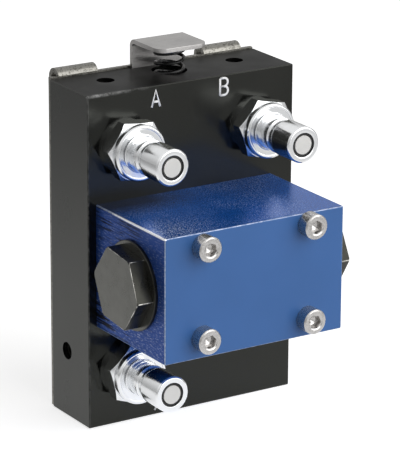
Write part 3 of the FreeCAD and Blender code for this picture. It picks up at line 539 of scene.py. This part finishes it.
def product(tree, *values):
    """Outputs and numbers, multiplied."""
    result = values[0]
    for value in values[1:]:
        result = calculate(tree, "MULTIPLY", result, value)
    return result


def largest(tree, *values):
    """The largest of outputs and numbers."""
    result = values[0]
    for value in values[1:]:
        result = calculate(tree, "MAXIMUM", result, value)
    return result


def mix(tree, share, first, second):
    """Mix two colours, or outputs of colour, by a share."""
    node = tree.nodes.new("ShaderNodeMix")
    node.data_type = "RGBA"
    for socket, item in ((node.inputs[6], first), (node.inputs[7], second)):
        if isinstance(item, tuple):
            socket.default_value = item
        else:
            tree.links.new(item, socket)
    tree.links.new(share, node.inputs[0])
    return node.outputs[2]


def near(tree, value, level, width):
    """1 where a coordinate is at a level, falling to 0 at the width from it."""
    distance = calculate(tree, "ABSOLUTE", calculate(tree, "SUBTRACT", value, level))
    return spread(tree, distance, 0.25 * width, width, 1.0, 0.0, smooth=True)


def colour_with(material, colour):
    """Let an output give a material its colour."""
    material.node_tree.links.new(colour, shader_of(material).inputs["Base Color"])


def roughen(material, pattern, low, high, span=NOISE_SPAN):
    """Let a pattern vary a material's roughness between two values."""
    tree = material.node_tree
    rough = spread(tree, pattern, *span, low, high)
    tree.links.new(rough, shader_of(material).inputs["Roughness"])


def bump(material, height, distance, strength):
    """Raise a material's surface by a height pattern, over a distance in metres."""
    tree = material.node_tree
    node = tree.nodes.new("ShaderNodeBump")
    node.inputs["Strength"].default_value = strength
    node.inputs["Distance"].default_value = distance
    tree.links.new(height, node.inputs["Height"])
    tree.links.new(node.outputs["Normal"], shader_of(material).inputs["Normal"])


# Materials


def plate_wear_and_sheen(tree):
    """Where the plate's front edges are worn: the top one at its left end, where the wear is
    also a painted sheen, and the left one.
    """
    low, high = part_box("connection_plate")
    x, y, z = parts_of(tree, mapped(tree))
    corner = product(tree, near(tree, z, high[2], 1.2 * MM), near(tree, y, low[1], 1.2 * MM),
                     spread(tree, x, low[0] + 25 * MM, low[0]))
    side = product(tree, near(tree, x, low[0], 0.8 * MM), near(tree, y, low[1], 0.8 * MM), 0.25)
    return largest(tree, corner, side)


def black_anodised(name, specular, roughness):
    """Satin black with faint smears, and bare metal where its edges are worn, which at the top
    edge's left end is also a painted sheen.
    """
    black = grey(12)
    material = new_material(name, black, specular=specular)
    shader_of(material).inputs["Specular Tint"].default_value = (0.97, 1.0, 0.9, 1)
    tree = material.node_tree
    smears = noise(tree, mapped(tree, scale=(1, 1, 0.35)), 55, 4)
    roughen(material, smears, roughness - 0.05, roughness + 0.07)
    scuffs = spread(tree, noise(tree, mapped(tree), 300, 5, 0.7), 0.4, 0.6)
    # Pale grey wear on the edges; at the top edge's left end it is also a painted sheen.
    worn = product(tree, plate_wear_and_sheen(tree), scuffs)
    colour_with(material, mix(tree, worn, black, grey(150)))
    bump(material, noise(tree, mapped(tree), 1800, 2), 0.01 * MM, 0.35)
    return material


def block_wear(tree):
    """Where the coat of the block's edges is rubbed through, most at the upper left."""
    low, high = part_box("valve_body")
    x, y, z = parts_of(tree, mapped(tree))
    left, right = near(tree, x, low[0], EDGE_WEAR), near(tree, x, high[0], EDGE_WEAR)
    front, top = near(tree, y, low[1], EDGE_WEAR), near(tree, z, high[2], EDGE_WEAR)
    bottom = near(tree, z, low[2], EDGE_WEAR)
    wide = product(tree, near(tree, x, low[0], 1.6 * EDGE_WEAR),
                   near(tree, z, high[2], 1.6 * EDGE_WEAR))
    along = spread(tree, y, low[1] + 34 * MM, low[1] + 18 * MM, 0.6, 3.0)
    upper_left = product(tree, wide, along)
    front_left = product(tree, left, front, 0.7)
    front_top = product(tree, front, top, 0.65)
    others = product(tree, largest(tree, right, bottom), largest(tree, front, left), 0.5)
    edge = largest(tree, upper_left, front_left, front_top, others)
    scuffs = spread(tree, noise(tree, mapped(tree), 900, 4, 0.7), 0.34, 0.6, 0.45, 1.0)
    return spread(tree, product(tree, edge, scuffs), 0.2, 0.9)


def coat_block(material, colour, metallic):
    """Lay a coat's colour, with bright bare metal where the block's edges are rubbed."""
    tree = material.node_tree
    worn = block_wear(tree)
    colour_with(material, mix(tree, worn, colour, srgb(242, 244, 250)))
    tree.links.new(largest(tree, worn, metallic), shader_of(material).inputs["Metallic"])


def blue_coat():
    """Thin smooth blue coat of the block's front."""
    light = srgb(50, 97, 159)
    material = new_material("blue_coat", light, specular=0.45)
    tree = material.node_tree
    clouds = spread(tree, noise(tree, mapped(tree), 45), *NOISE_SPAN)
    coat_block(material, mix(tree, clouds, srgb(46, 93, 153), light), 0.0)
    fine = noise(tree, mapped(tree), 1500)
    roughen(material, fine, 0.36, 0.42)
    bump(material, fine, 0.01 * MM, 0.4)
    return material


def top_glint_paint(tree, sparkle, patches):
    """Painted glints of the coarse cut, as white specks: in patches, and most at the block's
    left front corner, which paints a highlight there.
    """
    low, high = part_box("valve_body")
    x, y, z = parts_of(tree, mapped(tree))
    corner = product(tree, spread(tree, x, low[0] + 30 * MM, low[0] + 8 * MM),
                     spread(tree, y, low[1] + 26 * MM, low[1] + 8 * MM))
    patchy = largest(tree, spread(tree, patches, 0.42, 0.6, 0.04, 0.4), corner)
    return product(tree, spread(tree, sparkle, 0.56, 0.62), patchy)


def painted_shade_near_plate(tree):
    """Painted shade on the block's upper face near the plate, at its left rear corner."""
    low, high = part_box("valve_body")
    x, y, z = parts_of(tree, mapped(tree))
    return product(tree, spread(tree, y, high[1] - 18 * MM, high[1] - 6 * MM),
                   spread(tree, x, low[0] + 36 * MM, low[0] + 18 * MM, 0.1, 0.9))


def blue_top():
    """The same coat on the block's upper and lower faces, over a grainy cut with painted glints,
    and with painted shade near the plate.
    """
    light = srgb(16, 106, 206)
    material = new_material("blue_coat_top", light, specular=0.25)
    tree = material.node_tree
    sparkle = noise(tree, mapped(tree), 2300, 2, 0.6)
    patches = noise(tree, mapped(tree), 48, 2)
    # White specks of painted glint, less metallic where they lie.
    painted_glint = top_glint_paint(tree, sparkle, patches)
    colour = mix(tree, spread(tree, sparkle, 0.4, 0.54), srgb(6, 74, 160), light)
    colour = mix(tree, painted_glint, colour, srgb(228, 238, 252))
    # Painted shade: dark navy near the plate.
    colour = mix(tree, painted_shade_near_plate(tree), colour, srgb(5, 22, 52))
    coat_block(material, colour, spread(tree, painted_glint, 0, 1, 0.4, 0.0))
    roughen(material, patches, 0.16, 0.26, (0.4, 0.6))
    bump(material, sparkle, 0.06 * MM, 0.6)
    return material


def blue_ends():
    """The coat over the coarse milling of the block's ends, with painted glints that grow
    towards the bottom.
    """
    blue = srgb(44, 80, 158)
    material = new_material("blue_coat_ends", blue, roughness=0.42, specular=0.1)
    tree = material.node_tree
    low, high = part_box("valve_body")
    x, y, z = parts_of(tree, mapped(tree))
    lines = noise(tree, mapped(tree, scale=(1, 0.04, 1)), 1300, 3, 0.65)
    patches = spread(tree, noise(tree, mapped(tree), 70), 0.36, 0.56, 0.25, 1.0)
    rear = spread(tree, y, low[1] + 4 * MM, low[1] + 26 * MM, 0.15, 1.0)
    cuts = product(tree, spread(tree, lines, 0.51, 0.57), patches, rear)
    fine = noise(tree, mapped(tree, scale=(1, 0.2, 1)), 2600, 3, 0.7)
    # Painted glints: pale specks, stronger towards the bottom, that stand for the floor's
    # reflection.
    painted_end_glints = product(tree, spread(tree, fine, 0.54, 0.66),
                     spread(tree, z, high[2], low[2], 0.35, 0.8))
    colour = mix(tree, painted_end_glints, blue, srgb(180, 194, 226))
    colour = mix(tree, cuts, colour, srgb(6, 9, 22))
    coat_block(material, colour, 0.5)
    bump(material, lines, 0.12 * MM, 0.7)
    return material


def phosphated(name, dark, light):
    """Black phosphate with oil in it: a dark grey that mirrors a little."""
    material = new_material(name, light, metallic=0.88, specular=0.3)
    tree = material.node_tree
    clouds = noise(tree, mapped(tree), 180, 4)
    colour_with(material, mix(tree, spread(tree, clouds, *NOISE_SPAN), dark, light))
    roughen(material, clouds, 0.24, 0.34)
    bump(material, noise(tree, mapped(tree), 2600, 2), 0.01 * MM, 0.5)
    return material


def rubbed_steel():
    """The edges of blackened steel, rubbed bright here and there."""
    dark = srgb(66, 66, 62)
    material = new_material("rubbed_steel", dark, metallic=0.8, roughness=0.3)
    tree = material.node_tree
    bare = spread(tree, noise(tree, mapped(tree), 220, 4, 0.6), 0.42, 0.6)
    colour_with(material, mix(tree, bare, dark, srgb(206, 204, 198)))
    return material


def bright_plate(name, centre, outwards):
    """Bright plating over turned steel, with the faint rings of the lathe."""
    material = new_material(name, (0.78, 0.79, 0.8, 1), metallic=1.0)
    tree = material.node_tree
    roughen(material, noise(tree, mapped(tree), 300), 0.13, 0.19)
    bump(material, lathe_marks(tree, centre, outwards, 2600), 0.003 * MM, 0.5)
    return material


def satin_face(name, centre, outwards):
    """A finely turned steel face, matt and pale."""
    material = new_material(name, srgb(206, 205, 202), metallic=0.5, roughness=0.42)
    marks = lathe_marks(material.node_tree, centre, outwards, 3800)
    bump(material, marks, 0.01 * MM, 0.6)
    return material


def rolled_stainless(name, dark, light, specks):
    """Rolled stainless sheet: satin, warm grey, with fine lines across and grey specks."""
    material = new_material(name, light, metallic=1.0)
    tree = material.node_tree
    lines = noise(tree, mapped(tree, scale=(0.03, 1, 1)), 2400, 3, 0.6)
    clouds = spread(tree, noise(tree, mapped(tree), 90), *NOISE_SPAN)
    pits = spread(tree, noise(tree, mapped(tree), 1500, 3, 0.7), 0.5, 0.62, 0.0, specks)
    colour_with(material, mix(tree, pits, mix(tree, clouds, dark, light), srgb(58, 56, 50)))
    roughen(material, lines, 0.28, 0.42, (0.35, 0.65))
    bump(material, lines, 0.012 * MM, 0.5)
    return material


def zinc_screw():
    """Plated screw steel, a little dull and pitted."""
    light = srgb(194, 192, 190)
    material = new_material("zinc_steel", light, metallic=1.0)
    tree = material.node_tree
    pits = noise(tree, mapped(tree), 2400)
    colour_with(material, mix(tree, spread(tree, pits, 0.35, 0.6), srgb(172, 170, 168), light))
    roughen(material, pits, 0.2, 0.32)
    bump(material, pits, 0.006 * MM, 0.5)
    return material


def spring_wire():
    """Dark drawn wire."""
    material = new_material("spring_wire", grey(20), metallic=0.3)
    tree = material.node_tree
    roughen(material, noise(tree, mapped(tree), 900), 0.22, 0.4)
    return material


def ground_steel():
    """Hardened and ground steel."""
    material = new_material("ground_steel", grey(178), metallic=1.0)
    tree = material.node_tree
    roughen(material, noise(tree, mapped(tree), 1500), 0.16, 0.3)
    return material


def black_rubber():
    """Nitrile rubber."""
    material = new_material("black_rubber", grey(22), specular=0.4)
    tree = material.node_tree
    skin = noise(tree, mapped(tree), 1200)
    roughen(material, skin, 0.42, 0.6)
    bump(material, skin, 0.01 * MM, 0.4)
    return material


def white_paint():
    """The filling of the port letters."""
    white = grey(246)
    material = new_material("white_filling", white, roughness=0.55)
    tree = material.node_tree
    chalk = spread(tree, noise(tree, mapped(tree), 2500), *NOISE_SPAN)
    colour_with(material, mix(tree, chalk, grey(228), white))
    return material


# Plate, block and sheets


def plate():
    """The connection plate, with fine broken edges."""
    piece = merged_copy("connection_plate", "plate")
    break_edges(piece, PLATE_EDGE, FLAT_PIECE_ANGLE, segments=1)
    fit(piece, "housing", "black_anodised", PLATE, "connection_plate")
    give_faces(piece, PLATE_LEFT, LEFT)
    give_faces(piece, PLATE_TOP, UP)


def block():
    """The valve block, whose faces differ in their cut."""
    piece = merged_copy("valve_body", "block")
    shade(piece)
    fit(piece, "housing", "blue_coat", BLUE, "valve_body")
    give_faces(piece, BLUE_ENDS, LEFT)
    give_faces(piece, BLUE_ENDS, RIGHT)
    give_faces(piece, BLUE_TOP, UP)
    give_faces(piece, BLUE_TOP, DOWN)


def sheets():
    """The hook sheet and the latch slide, with the broken edges of cut sheet."""
    hooks = merged_copy("hook_plate", "hook_sheet")
    break_edges(hooks, HOOK_EDGE, FLAT_PIECE_ANGLE)
    fit(hooks, "housing", "stainless_sheet", SHEET, "hook_plate")
    latch = merged_copy("latch_slide", "press_latch")
    break_edges(latch, LATCH_EDGE, FLAT_PIECE_ANGLE)
    fit(latch, "latch", "stainless_sheet", TAB, "latch_slide")


# Nipples


def nipple_adaptor(name, foot, turn):
    """The hexagon adaptor, with its collar, its stud and the bore through it."""
    bar = six_sided(f"nipple_{name}_hexagon", foot, FRONT, RIGHT, NIPPLE_FLATS,
                    HEXAGON_START, HEXAGON_END, turn)
    half = NIPPLE_FLATS / 2
    form = turned("hexagon_form", foot, FRONT, [
        (7.05, 1.0), (half - 1.58, 1.0), (half + 0.15, 2.0), (half + 1.9, 3.01),
        (half + 1.9, 6.19), (half + 0.15, HEXAGON_END), (half - 1.32, 8.05), (7.05, 8.05)],
        hollow=True)
    bar = combine(bar, form, "INTERSECT")
    stud = turned("stud_form", foot, FRONT, [
        (NIPPLE_BORE, -STUD_LENGTH), (NIPPLE_STUD - LEAD, -STUD_LENGTH),
        (NIPPLE_STUD, LEAD - STUD_LENGTH), (NIPPLE_STUD, 0), (6.9, 0), (6.9, 1.5), (8.4, 1.5),
        (8.4, 0), (FLANGE, 0), (FLANGE, 2.0), (8.3, 2.0), (8.3, 2.7), (NIPPLE_BORE, 2.7)],
        hollow=True)
    bar = combine(bar, stud, "UNION")
    break_edges(bar, HEXAGON_EDGE, HEXAGON_ANGLE)
    fit(bar, "housing", "chrome_plate", CHROME[name], f"nipple_{name}_adaptor")


def nipple_tip(name, foot):
    """The flanged tip, with a locking groove behind its end and a mouth for the poppet."""
    flange = [(7.0, 2.7), (7.0, HEXAGON_END), (FLANGE, HEXAGON_END), (FLANGE, 9.3), (8.9, 9.9),
              (8.2, 9.9), (8.2, 9.65), (6.4, 9.65), (6.3, 9.85), (6.1, 9.85), (5.45, 9.65)]
    outside = [(5.45, 11.4), (TIP_SLEEVE, 11.4), (TIP_SLEEVE, 15.6), (TIP_NECK, 15.9),
               (TIP_NECK, 17.5), (TIP, 18.8), (TIP, TIP_END - LEAD), (TIP - LEAD, TIP_END)]
    inside = [(TIP_MOUTH, TIP_END), (TIP_MOUTH, MOUTH_START), (TIP_CHAMBER, MOUTH_START),
              (TIP_CHAMBER, 5.7), (5.5, 5.7)]
    tip = turned(f"nipple_{name}_tip", foot, FRONT, [(5.5, 2.7)] + flange + outside + inside,
                 hollow=True)
    break_edges(tip, TIP_EDGE, TURNED_ANGLE)
    fit(tip, "housing", "chrome_plate", CHROME[name], f"nipple_{name}_body")


def nipple_poppet(name, foot):
    """The poppet, with its stem, its stop and its pale face."""
    poppet = turned(f"nipple_{name}_valve_poppet", foot, FRONT, [
        (POPPET_STEM, 2.15), (POPPET_STEM, 23.65), (POPPET_STOP, 23.65), (POPPET_STOP, 25.15),
        (POPPET_HEAD, 25.15), (POPPET_HEAD, 26.9), (POPPET_RIM, 26.9), (POPPET_RIM, 28.6)])
    break_edges(poppet, TIP_EDGE, TURNED_ANGLE)
    fit(poppet, f"nipple_{name}_valve", "ground_steel", FACES[name], f"nipple_{name}_poppet")


def nipple_ring(name, foot):
    """The seal ring in the poppet's rim."""
    ring = turned(f"nipple_{name}_face_ring", foot, FRONT, [
        (RING_INSIDE, RING_START), (RING_OUTSIDE, RING_START), (RING_OUTSIDE, RING_END - 0.15),
        (3.95, RING_END), (3.4, RING_END), (RING_INSIDE, RING_END - 0.15)], hollow=True)
    break_edges(ring, RING_EDGE, TURNED_ANGLE)
    fit(ring, f"nipple_{name}_valve", "seal_rubber", RUBBER, f"nipple_{name}_poppet_seal")


def nipple(name):
    """One nipple, set on the plate's face."""
    low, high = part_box(f"nipple_{name}_body")
    foot = Vector(((low[0] + high[0]) / 2, PLATE_FRONT * MM, (low[2] + high[2]) / 2))
    nipple_adaptor(name, foot, NIPPLE_TURNS[name])
    nipple_tip(name, foot)
    nipple_poppet(name, foot)
    nipple_ring(name, foot)


# Plugs and screws


def end_plug(name, outwards, across, turn, pocket):
    """A hexagon plug with its collar and threaded stud, hollow where a spring sits in it."""
    low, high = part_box(f"{name}_plug")
    middle = (low + high) / 2
    block_low, block_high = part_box("valve_body")
    face = block_low[0] if outwards == LEFT else block_high[0]
    foot = Vector((face, middle[1], middle[2]))
    bar = six_sided(f"{name}_end_plug", foot, outwards, across, PLUG_FLATS, 1.0, PLUG_TOP, turn)
    corner = corner_of(PLUG_FLATS)
    form = turned("hexagon_form", foot, outwards, [
        (corner + 0.6, 0.5), (corner + 0.6, 6.2), (corner - 0.45, PLUG_TOP),
        (corner - 1.85, 7.6)])
    bar = combine(bar, form, "INTERSECT")
    stud = turned("stud_form", foot, outwards, [
        (PLUG_STUD - LEAD, -STUD_LENGTH), (PLUG_STUD, LEAD - STUD_LENGTH), (PLUG_STUD, -2.2),
        (PLUG_RELIEF, -2.2), (PLUG_RELIEF, 0), (PLUG_COLLAR, 0), (PLUG_COLLAR, 0.9),
        (14.8, COLLAR_TOP), (11.0, COLLAR_TOP), (11.0, 1.6)])
    bar = combine(bar, stud, "UNION")
    if pocket:
        bore = turned("pocket_form", foot, outwards, [
            (SPRING_POCKET, -STUD_LENGTH - 1), (SPRING_POCKET, pocket - STUD_LENGTH)])
        bar = combine(bar, bore, "DIFFERENCE")
    fit(bar, "housing", "blackened_steel", PHOSPHATE, f"{name}_plug")
    # The end face gets a lighter copy of the phosphate: painted light, beside the darker flats.
    give_faces(bar, PAINTED_LIT_PLUG_FACE, outwards)
    pick_sharp_edges(bar, foot, outwards, PLUG_EDGE_LENGTH, PLUG_EDGE_FOOT)
    rub_picked_edges(bar, PLUG_EDGE, PLUG_EDGE_STEPS, RUBBED)


def socket_screw(number, foot):
    """A socket head cap screw, station nought under its head."""
    screw = turned(f"block_screw_{number}", foot, FRONT, [
        (SCREW_SHANK, -SCREW_LENGTH), (SCREW_SHANK, 0), (SCREW_HEAD, 0), (SCREW_HEAD, 4.55),
        (3.8, SCREW_HEAD_HEIGHT), (2.75, SCREW_HEAD_HEIGHT), (2.35, 4.75)], sides=SCREW_SIDES)
    key = six_sided("key_form", foot, FRONT, RIGHT, SCREW_KEY, SCREW_KEY_FLOOR,
                    SCREW_HEAD_HEIGHT + 1, SCREW_KEY_TURNS[number])
    screw = combine(screw, key, "DIFFERENCE")
    drill = turned("drill_form", foot, FRONT, [(0.05, 1.6), (1.7, 2.55)], sides=DRILL_SIDES)
    screw = combine(screw, drill, "DIFFERENCE")
    return break_edges(screw, SCREW_EDGE, HEXAGON_ANGLE)


def valve_screws():
    """The block's four screws, a little nearer to each other on the left."""
    low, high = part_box("valve_screws")
    seat = low[1] + SCREW_HEAD_HEIGHT * MM
    centre_z = (low[2] + high[2]) / 2
    columns = (low[0] + SCREW_HEAD * MM, high[0] - SCREW_HEAD * MM)
    feet = [Vector((across, seat, centre_z + side * half_span * MM))
            for across, half_span in zip(columns, SCREW_SPANS) for side in (-1, 1)]
    screws = joined([socket_screw(number, foot) for number, foot in enumerate(feet)])
    screws.name = "block_screws"
    fit(screws, "housing", "zinc_steel", ZINC, "valve_screws")


# Springs


def closed_rise(share, turns):
    """How far along its length a spring's wire is, flatter in the end turns."""
    flat = END_TURNS / turns
    slow = min(share, flat) + max(share - (1 - flat), 0)
    quick = min(max(share - flat, 0), 1 - 2 * flat)
    return (END_RISE * slow + quick) / (END_RISE * 2 * flat + 1 - 2 * flat)


def coil_points(start, outwards, span, coil_radius, wire_radius, turns):
    """Points along the middle of a coil's wire, where the coil fills a span in metres."""
    across = across_of(outwards)
    side = outwards.cross(across)
    end = wire_radius * MM
    steps = int(turns * COIL_POINTS)
    points = []
    for index in range(steps + 1):
        share = index / steps
        rise = end + (span - 2 * end) * closed_rise(share, turns)
        angle = share * turns * math.tau
        reach = (across * math.cos(angle) + side * math.sin(angle)) * coil_radius * MM
        points.append(start + outwards * rise + reach)
    return points


def spring(name, node, outwards, joint, coil_radius, wire_radius, turns):
    """A compression spring with closed end turns, and the share that its joint squeezes."""
    low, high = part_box(node)
    span = abs((high - low).dot(outwards))
    start = axis_of(node, outwards)
    points = coil_points(start, outwards, span, coil_radius, wire_radius, turns)
    piece = wire(name, [points], wire_radius, COIL_ROUNDNESS)
    bpy.ops.object.shade_smooth_by_angle(angle=SMOOTH_ANGLE)
    fit(piece, "housing", "spring_steel", WIRE, node)
    travel = next(row["range_m"][1] for row in frame["joints"] if row["name"] == joint)
    return piece, travel / span


def springs():
    """All five springs."""
    latch, share = spring("press_spring", "latch_spring", UP, "latch_press",
                          coil_radius=4.8, wire_radius=0.6, turns=5.5)
    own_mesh(latch)
    for name in NIPPLE_TURNS:
        node = f"nipple_{name}_spring"
        coil, share = spring(f"nipple_{name}_coil", node, FRONT, f"nipple_{name}_push",
                             coil_radius=3.3, wire_radius=0.45, turns=5.0)
        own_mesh(coil)
    coil, share = spring("poppet_coil", "poppet_spring", LEFT, "poppet_lift",
                         coil_radius=4.0, wire_radius=0.55, turns=5.0)
    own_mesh(coil)


# Port letters


def letter(name, centre, strokes):
    """A letter in flat strokes, inlaid in the plate's face."""
    x, z = centre
    lines = [[((x + u) * MM, 0, (z + v) * MM) for u, v in stroke] for stroke in strokes]
    piece = wire(name, lines, LETTER_STROKE, LETTER_ROUNDNESS)
    piece.scale = (1, LETTER_FLATNESS, 1)
    piece.location = (0, PLATE_FRONT * MM, 0)
    settle(piece)
    fit(piece, "housing", "black_anodised", PAINT)


def bowl(centre, radius, steps=10):
    """Points of a half round, from its top over the right to its foot."""
    angles = [math.radians(90 - 180 * index / steps) for index in range(steps + 1)]
    return [(centre[0] + radius * math.cos(angle), centre[1] + radius * math.sin(angle))
            for angle in angles]


def letters():
    """The three port letters."""
    top, foot = LETTER_HALF, -LETTER_HALF
    letter("port_letter_a", LETTER_A, [
        [(-1.6, foot), (0, top), (1.6, foot)],
        [(-1.1, -1.1), (1.1, -1.1)]])
    letter("port_letter_b", LETTER_B, [
        [(-1.45, top)] + bowl((0.1, 1.5), 1.4) + [(-1.45, 0.1)],
        [(-1.4, 0.1)] + bowl((0.1, -1.4), 1.5) + [(-1.4, foot)],
        [(-1.5, foot), (-1.5, top)]])
    letter("port_letter_x", LETTER_X, [
        [(-1.6, foot), (1.6, top)],
        [(-1.6, top), (1.6, foot)]])


def carried_over():
    """Materials for the pieces that stay as they are in the solids."""
    for name, node in frame["nodes"].items():
        if node.hide_render:
            continue
        if "seal" in name:
            dress(name, RUBBER)
        elif "plug" in name:
            dress(name, PHOSPHATE)
        elif "screws" in name:
            dress(name, ZINC)
        else:
            dress(name, GROUND)


# Camera, light and floor


def place_camera():
    """The photograph's own viewpoint."""
    yaw = math.radians(CAMERA_YAW)
    pitch = math.radians(CAMERA_PITCH)
    roll = math.radians(CAMERA_ROLL)
    back = Vector((math.sin(yaw) * math.cos(pitch), -math.cos(yaw) * math.cos(pitch),
                   math.sin(pitch)))
    right = Vector((math.cos(yaw), math.sin(yaw), 0))
    up = back.cross(right)
    rolled_right = right * math.cos(roll) + up * math.sin(roll)
    rolled_up = up * math.cos(roll) - right * math.sin(roll)
    turn = Matrix((rolled_right, rolled_up, back)).transposed().to_4x4()
    data = bpy.data.cameras.new("camera")
    data.sensor_width = SENSOR
    data.lens = FOCAL_PIXELS * SENSOR / IMAGE_HEIGHT
    data.clip_end = CAMERA_REACH
    camera = bpy.data.objects.new("camera", data)
    bpy.context.collection.objects.link(camera)
    camera.matrix_world = Matrix.Translation(CAMERA_TARGET + back * CAMERA_DISTANCE) @ turn
    bpy.context.scene.camera = camera


def key_light():
    """One large soft light from the right front, above the part."""
    data = bpy.data.lights.new("key_light", "AREA")
    data.size = KEY_SIZE
    data.energy = KEY_POWER
    lamp = bpy.data.objects.new("key_light", data)
    bpy.context.collection.objects.link(lamp)
    lamp.location = KEY_PLACE
    lamp.rotation_euler = (KEY_TARGET - KEY_PLACE).to_track_quat("-Z", "Y").to_euler()


def rays(tree):
    """1 for rays that look at a thing directly or through glass, and 1 for mirrored ones."""
    path = tree.nodes.new("ShaderNodeLightPath")
    direct = largest(tree, path.outputs["Is Camera Ray"], path.outputs["Is Transmission Ray"])
    return direct, path.outputs["Is Glossy Ray"]


def light_world():
    """A white studio to look at, and a dimmer one to be lit by."""
    world = bpy.data.worlds.new("studio")
    bpy.context.scene.world = world
    world.use_nodes = True
    tree = world.node_tree
    background = tree.nodes["Background"]
    background.inputs["Color"].default_value = (1, 1, 1, 1)
    direct, mirrored = rays(tree)
    ways = tree.nodes.new("ShaderNodeTexCoord")
    height = parts_of(tree, ways.outputs["Generated"])[2]
    room = product(tree, spread(tree, height, 0.1, 0.6, WORLD_HORIZON, 1.0), mirrored)
    tree.links.new(largest(tree, direct, WORLD_FILL, room), background.inputs["Strength"])


def floor_white(tree):
    """How bright the floor looks: even to the camera, in metal brightest near the part."""
    direct, mirrored = rays(tree)
    around = spread(tree, length_of(tree, mapped(tree)), 0.05, 0.4, 0.7, 0.12)
    return largest(tree, product(tree, around, mirrored), product(tree, direct, FLOOR_WHITE))


def lay_floor():
    """A plain pale floor under the part, white to look at but for the part's shadow."""
    bpy.ops.object.select_all(action="DESELECT")
    level = cad_bounds[0][2] - FLOOR_GAP
    bpy.ops.mesh.primitive_plane_add(size=FLOOR_SIZE, location=(0, 0, level))
    floor = bpy.context.active_object
    floor.name = "floor"
    material = new_material("pale_floor", grey(245), roughness=0.9, specular=0.0)
    shader = shader_of(material)
    shader.inputs["Emission Color"].default_value = (1, 1, 1, 1)
    tree = material.node_tree
    tree.links.new(floor_white(tree), shader.inputs["Emission Strength"])
    floor.data.materials.append(material)


place_camera()
light_world()
lay_floor()
key_light()

PLATE = black_anodised("black_anodised", specular=0.35, roughness=0.18)
PLATE_LEFT = black_anodised("black_anodised_left", specular=0.45, roughness=0.23)
PLATE_TOP = black_anodised("black_anodised_top", specular=0.1, roughness=0.4)
BLUE = blue_coat()
BLUE_TOP = blue_top()
BLUE_ENDS = blue_ends()
# The phosphate in two copies: the lighter one paints the plugs' end faces as lit, beside the
# darker, shaded flats.
PHOSPHATE = phosphated("black_phosphate", srgb(42, 42, 39), srgb(54, 54, 50))
PAINTED_LIT_PLUG_FACE = phosphated("black_phosphate_painted_lit_face", srgb(90, 90, 86), srgb(104, 104, 100))
RUBBED = rubbed_steel()
SHEET = rolled_stainless("rolled_stainless", srgb(120, 119, 114), srgb(140, 138, 132), 0.7)
TAB = rolled_stainless("rolled_stainless_tab", srgb(166, 164, 163), srgb(184, 182, 180), 0.1)
ZINC = zinc_screw()
WIRE = spring_wire()
GROUND = ground_steel()
RUBBER = black_rubber()
PAINT = white_paint()
CHROME = {}
FACES = {}
for name in NIPPLE_TURNS:
    axis = axis_of(f"nipple_{name}_body", FRONT)
    CHROME[name] = bright_plate(f"bright_plate_{name}", axis, FRONT)
    FACES[name] = satin_face(f"poppet_steel_{name}", axis, FRONT)

plate()
block()
sheets()
for name in NIPPLE_TURNS:
    nipple(name)
end_plug("left", LEFT, UP, LEFT_PLUG_TURN, pocket=0)
end_plug("right", RIGHT, DOWN, RIGHT_PLUG_TURN, pocket=SPRING_POCKET_DEPTH)
valve_screws()
springs()
letters()
carried_over()

bpy.context.scene.view_settings.view_transform = "Standard"
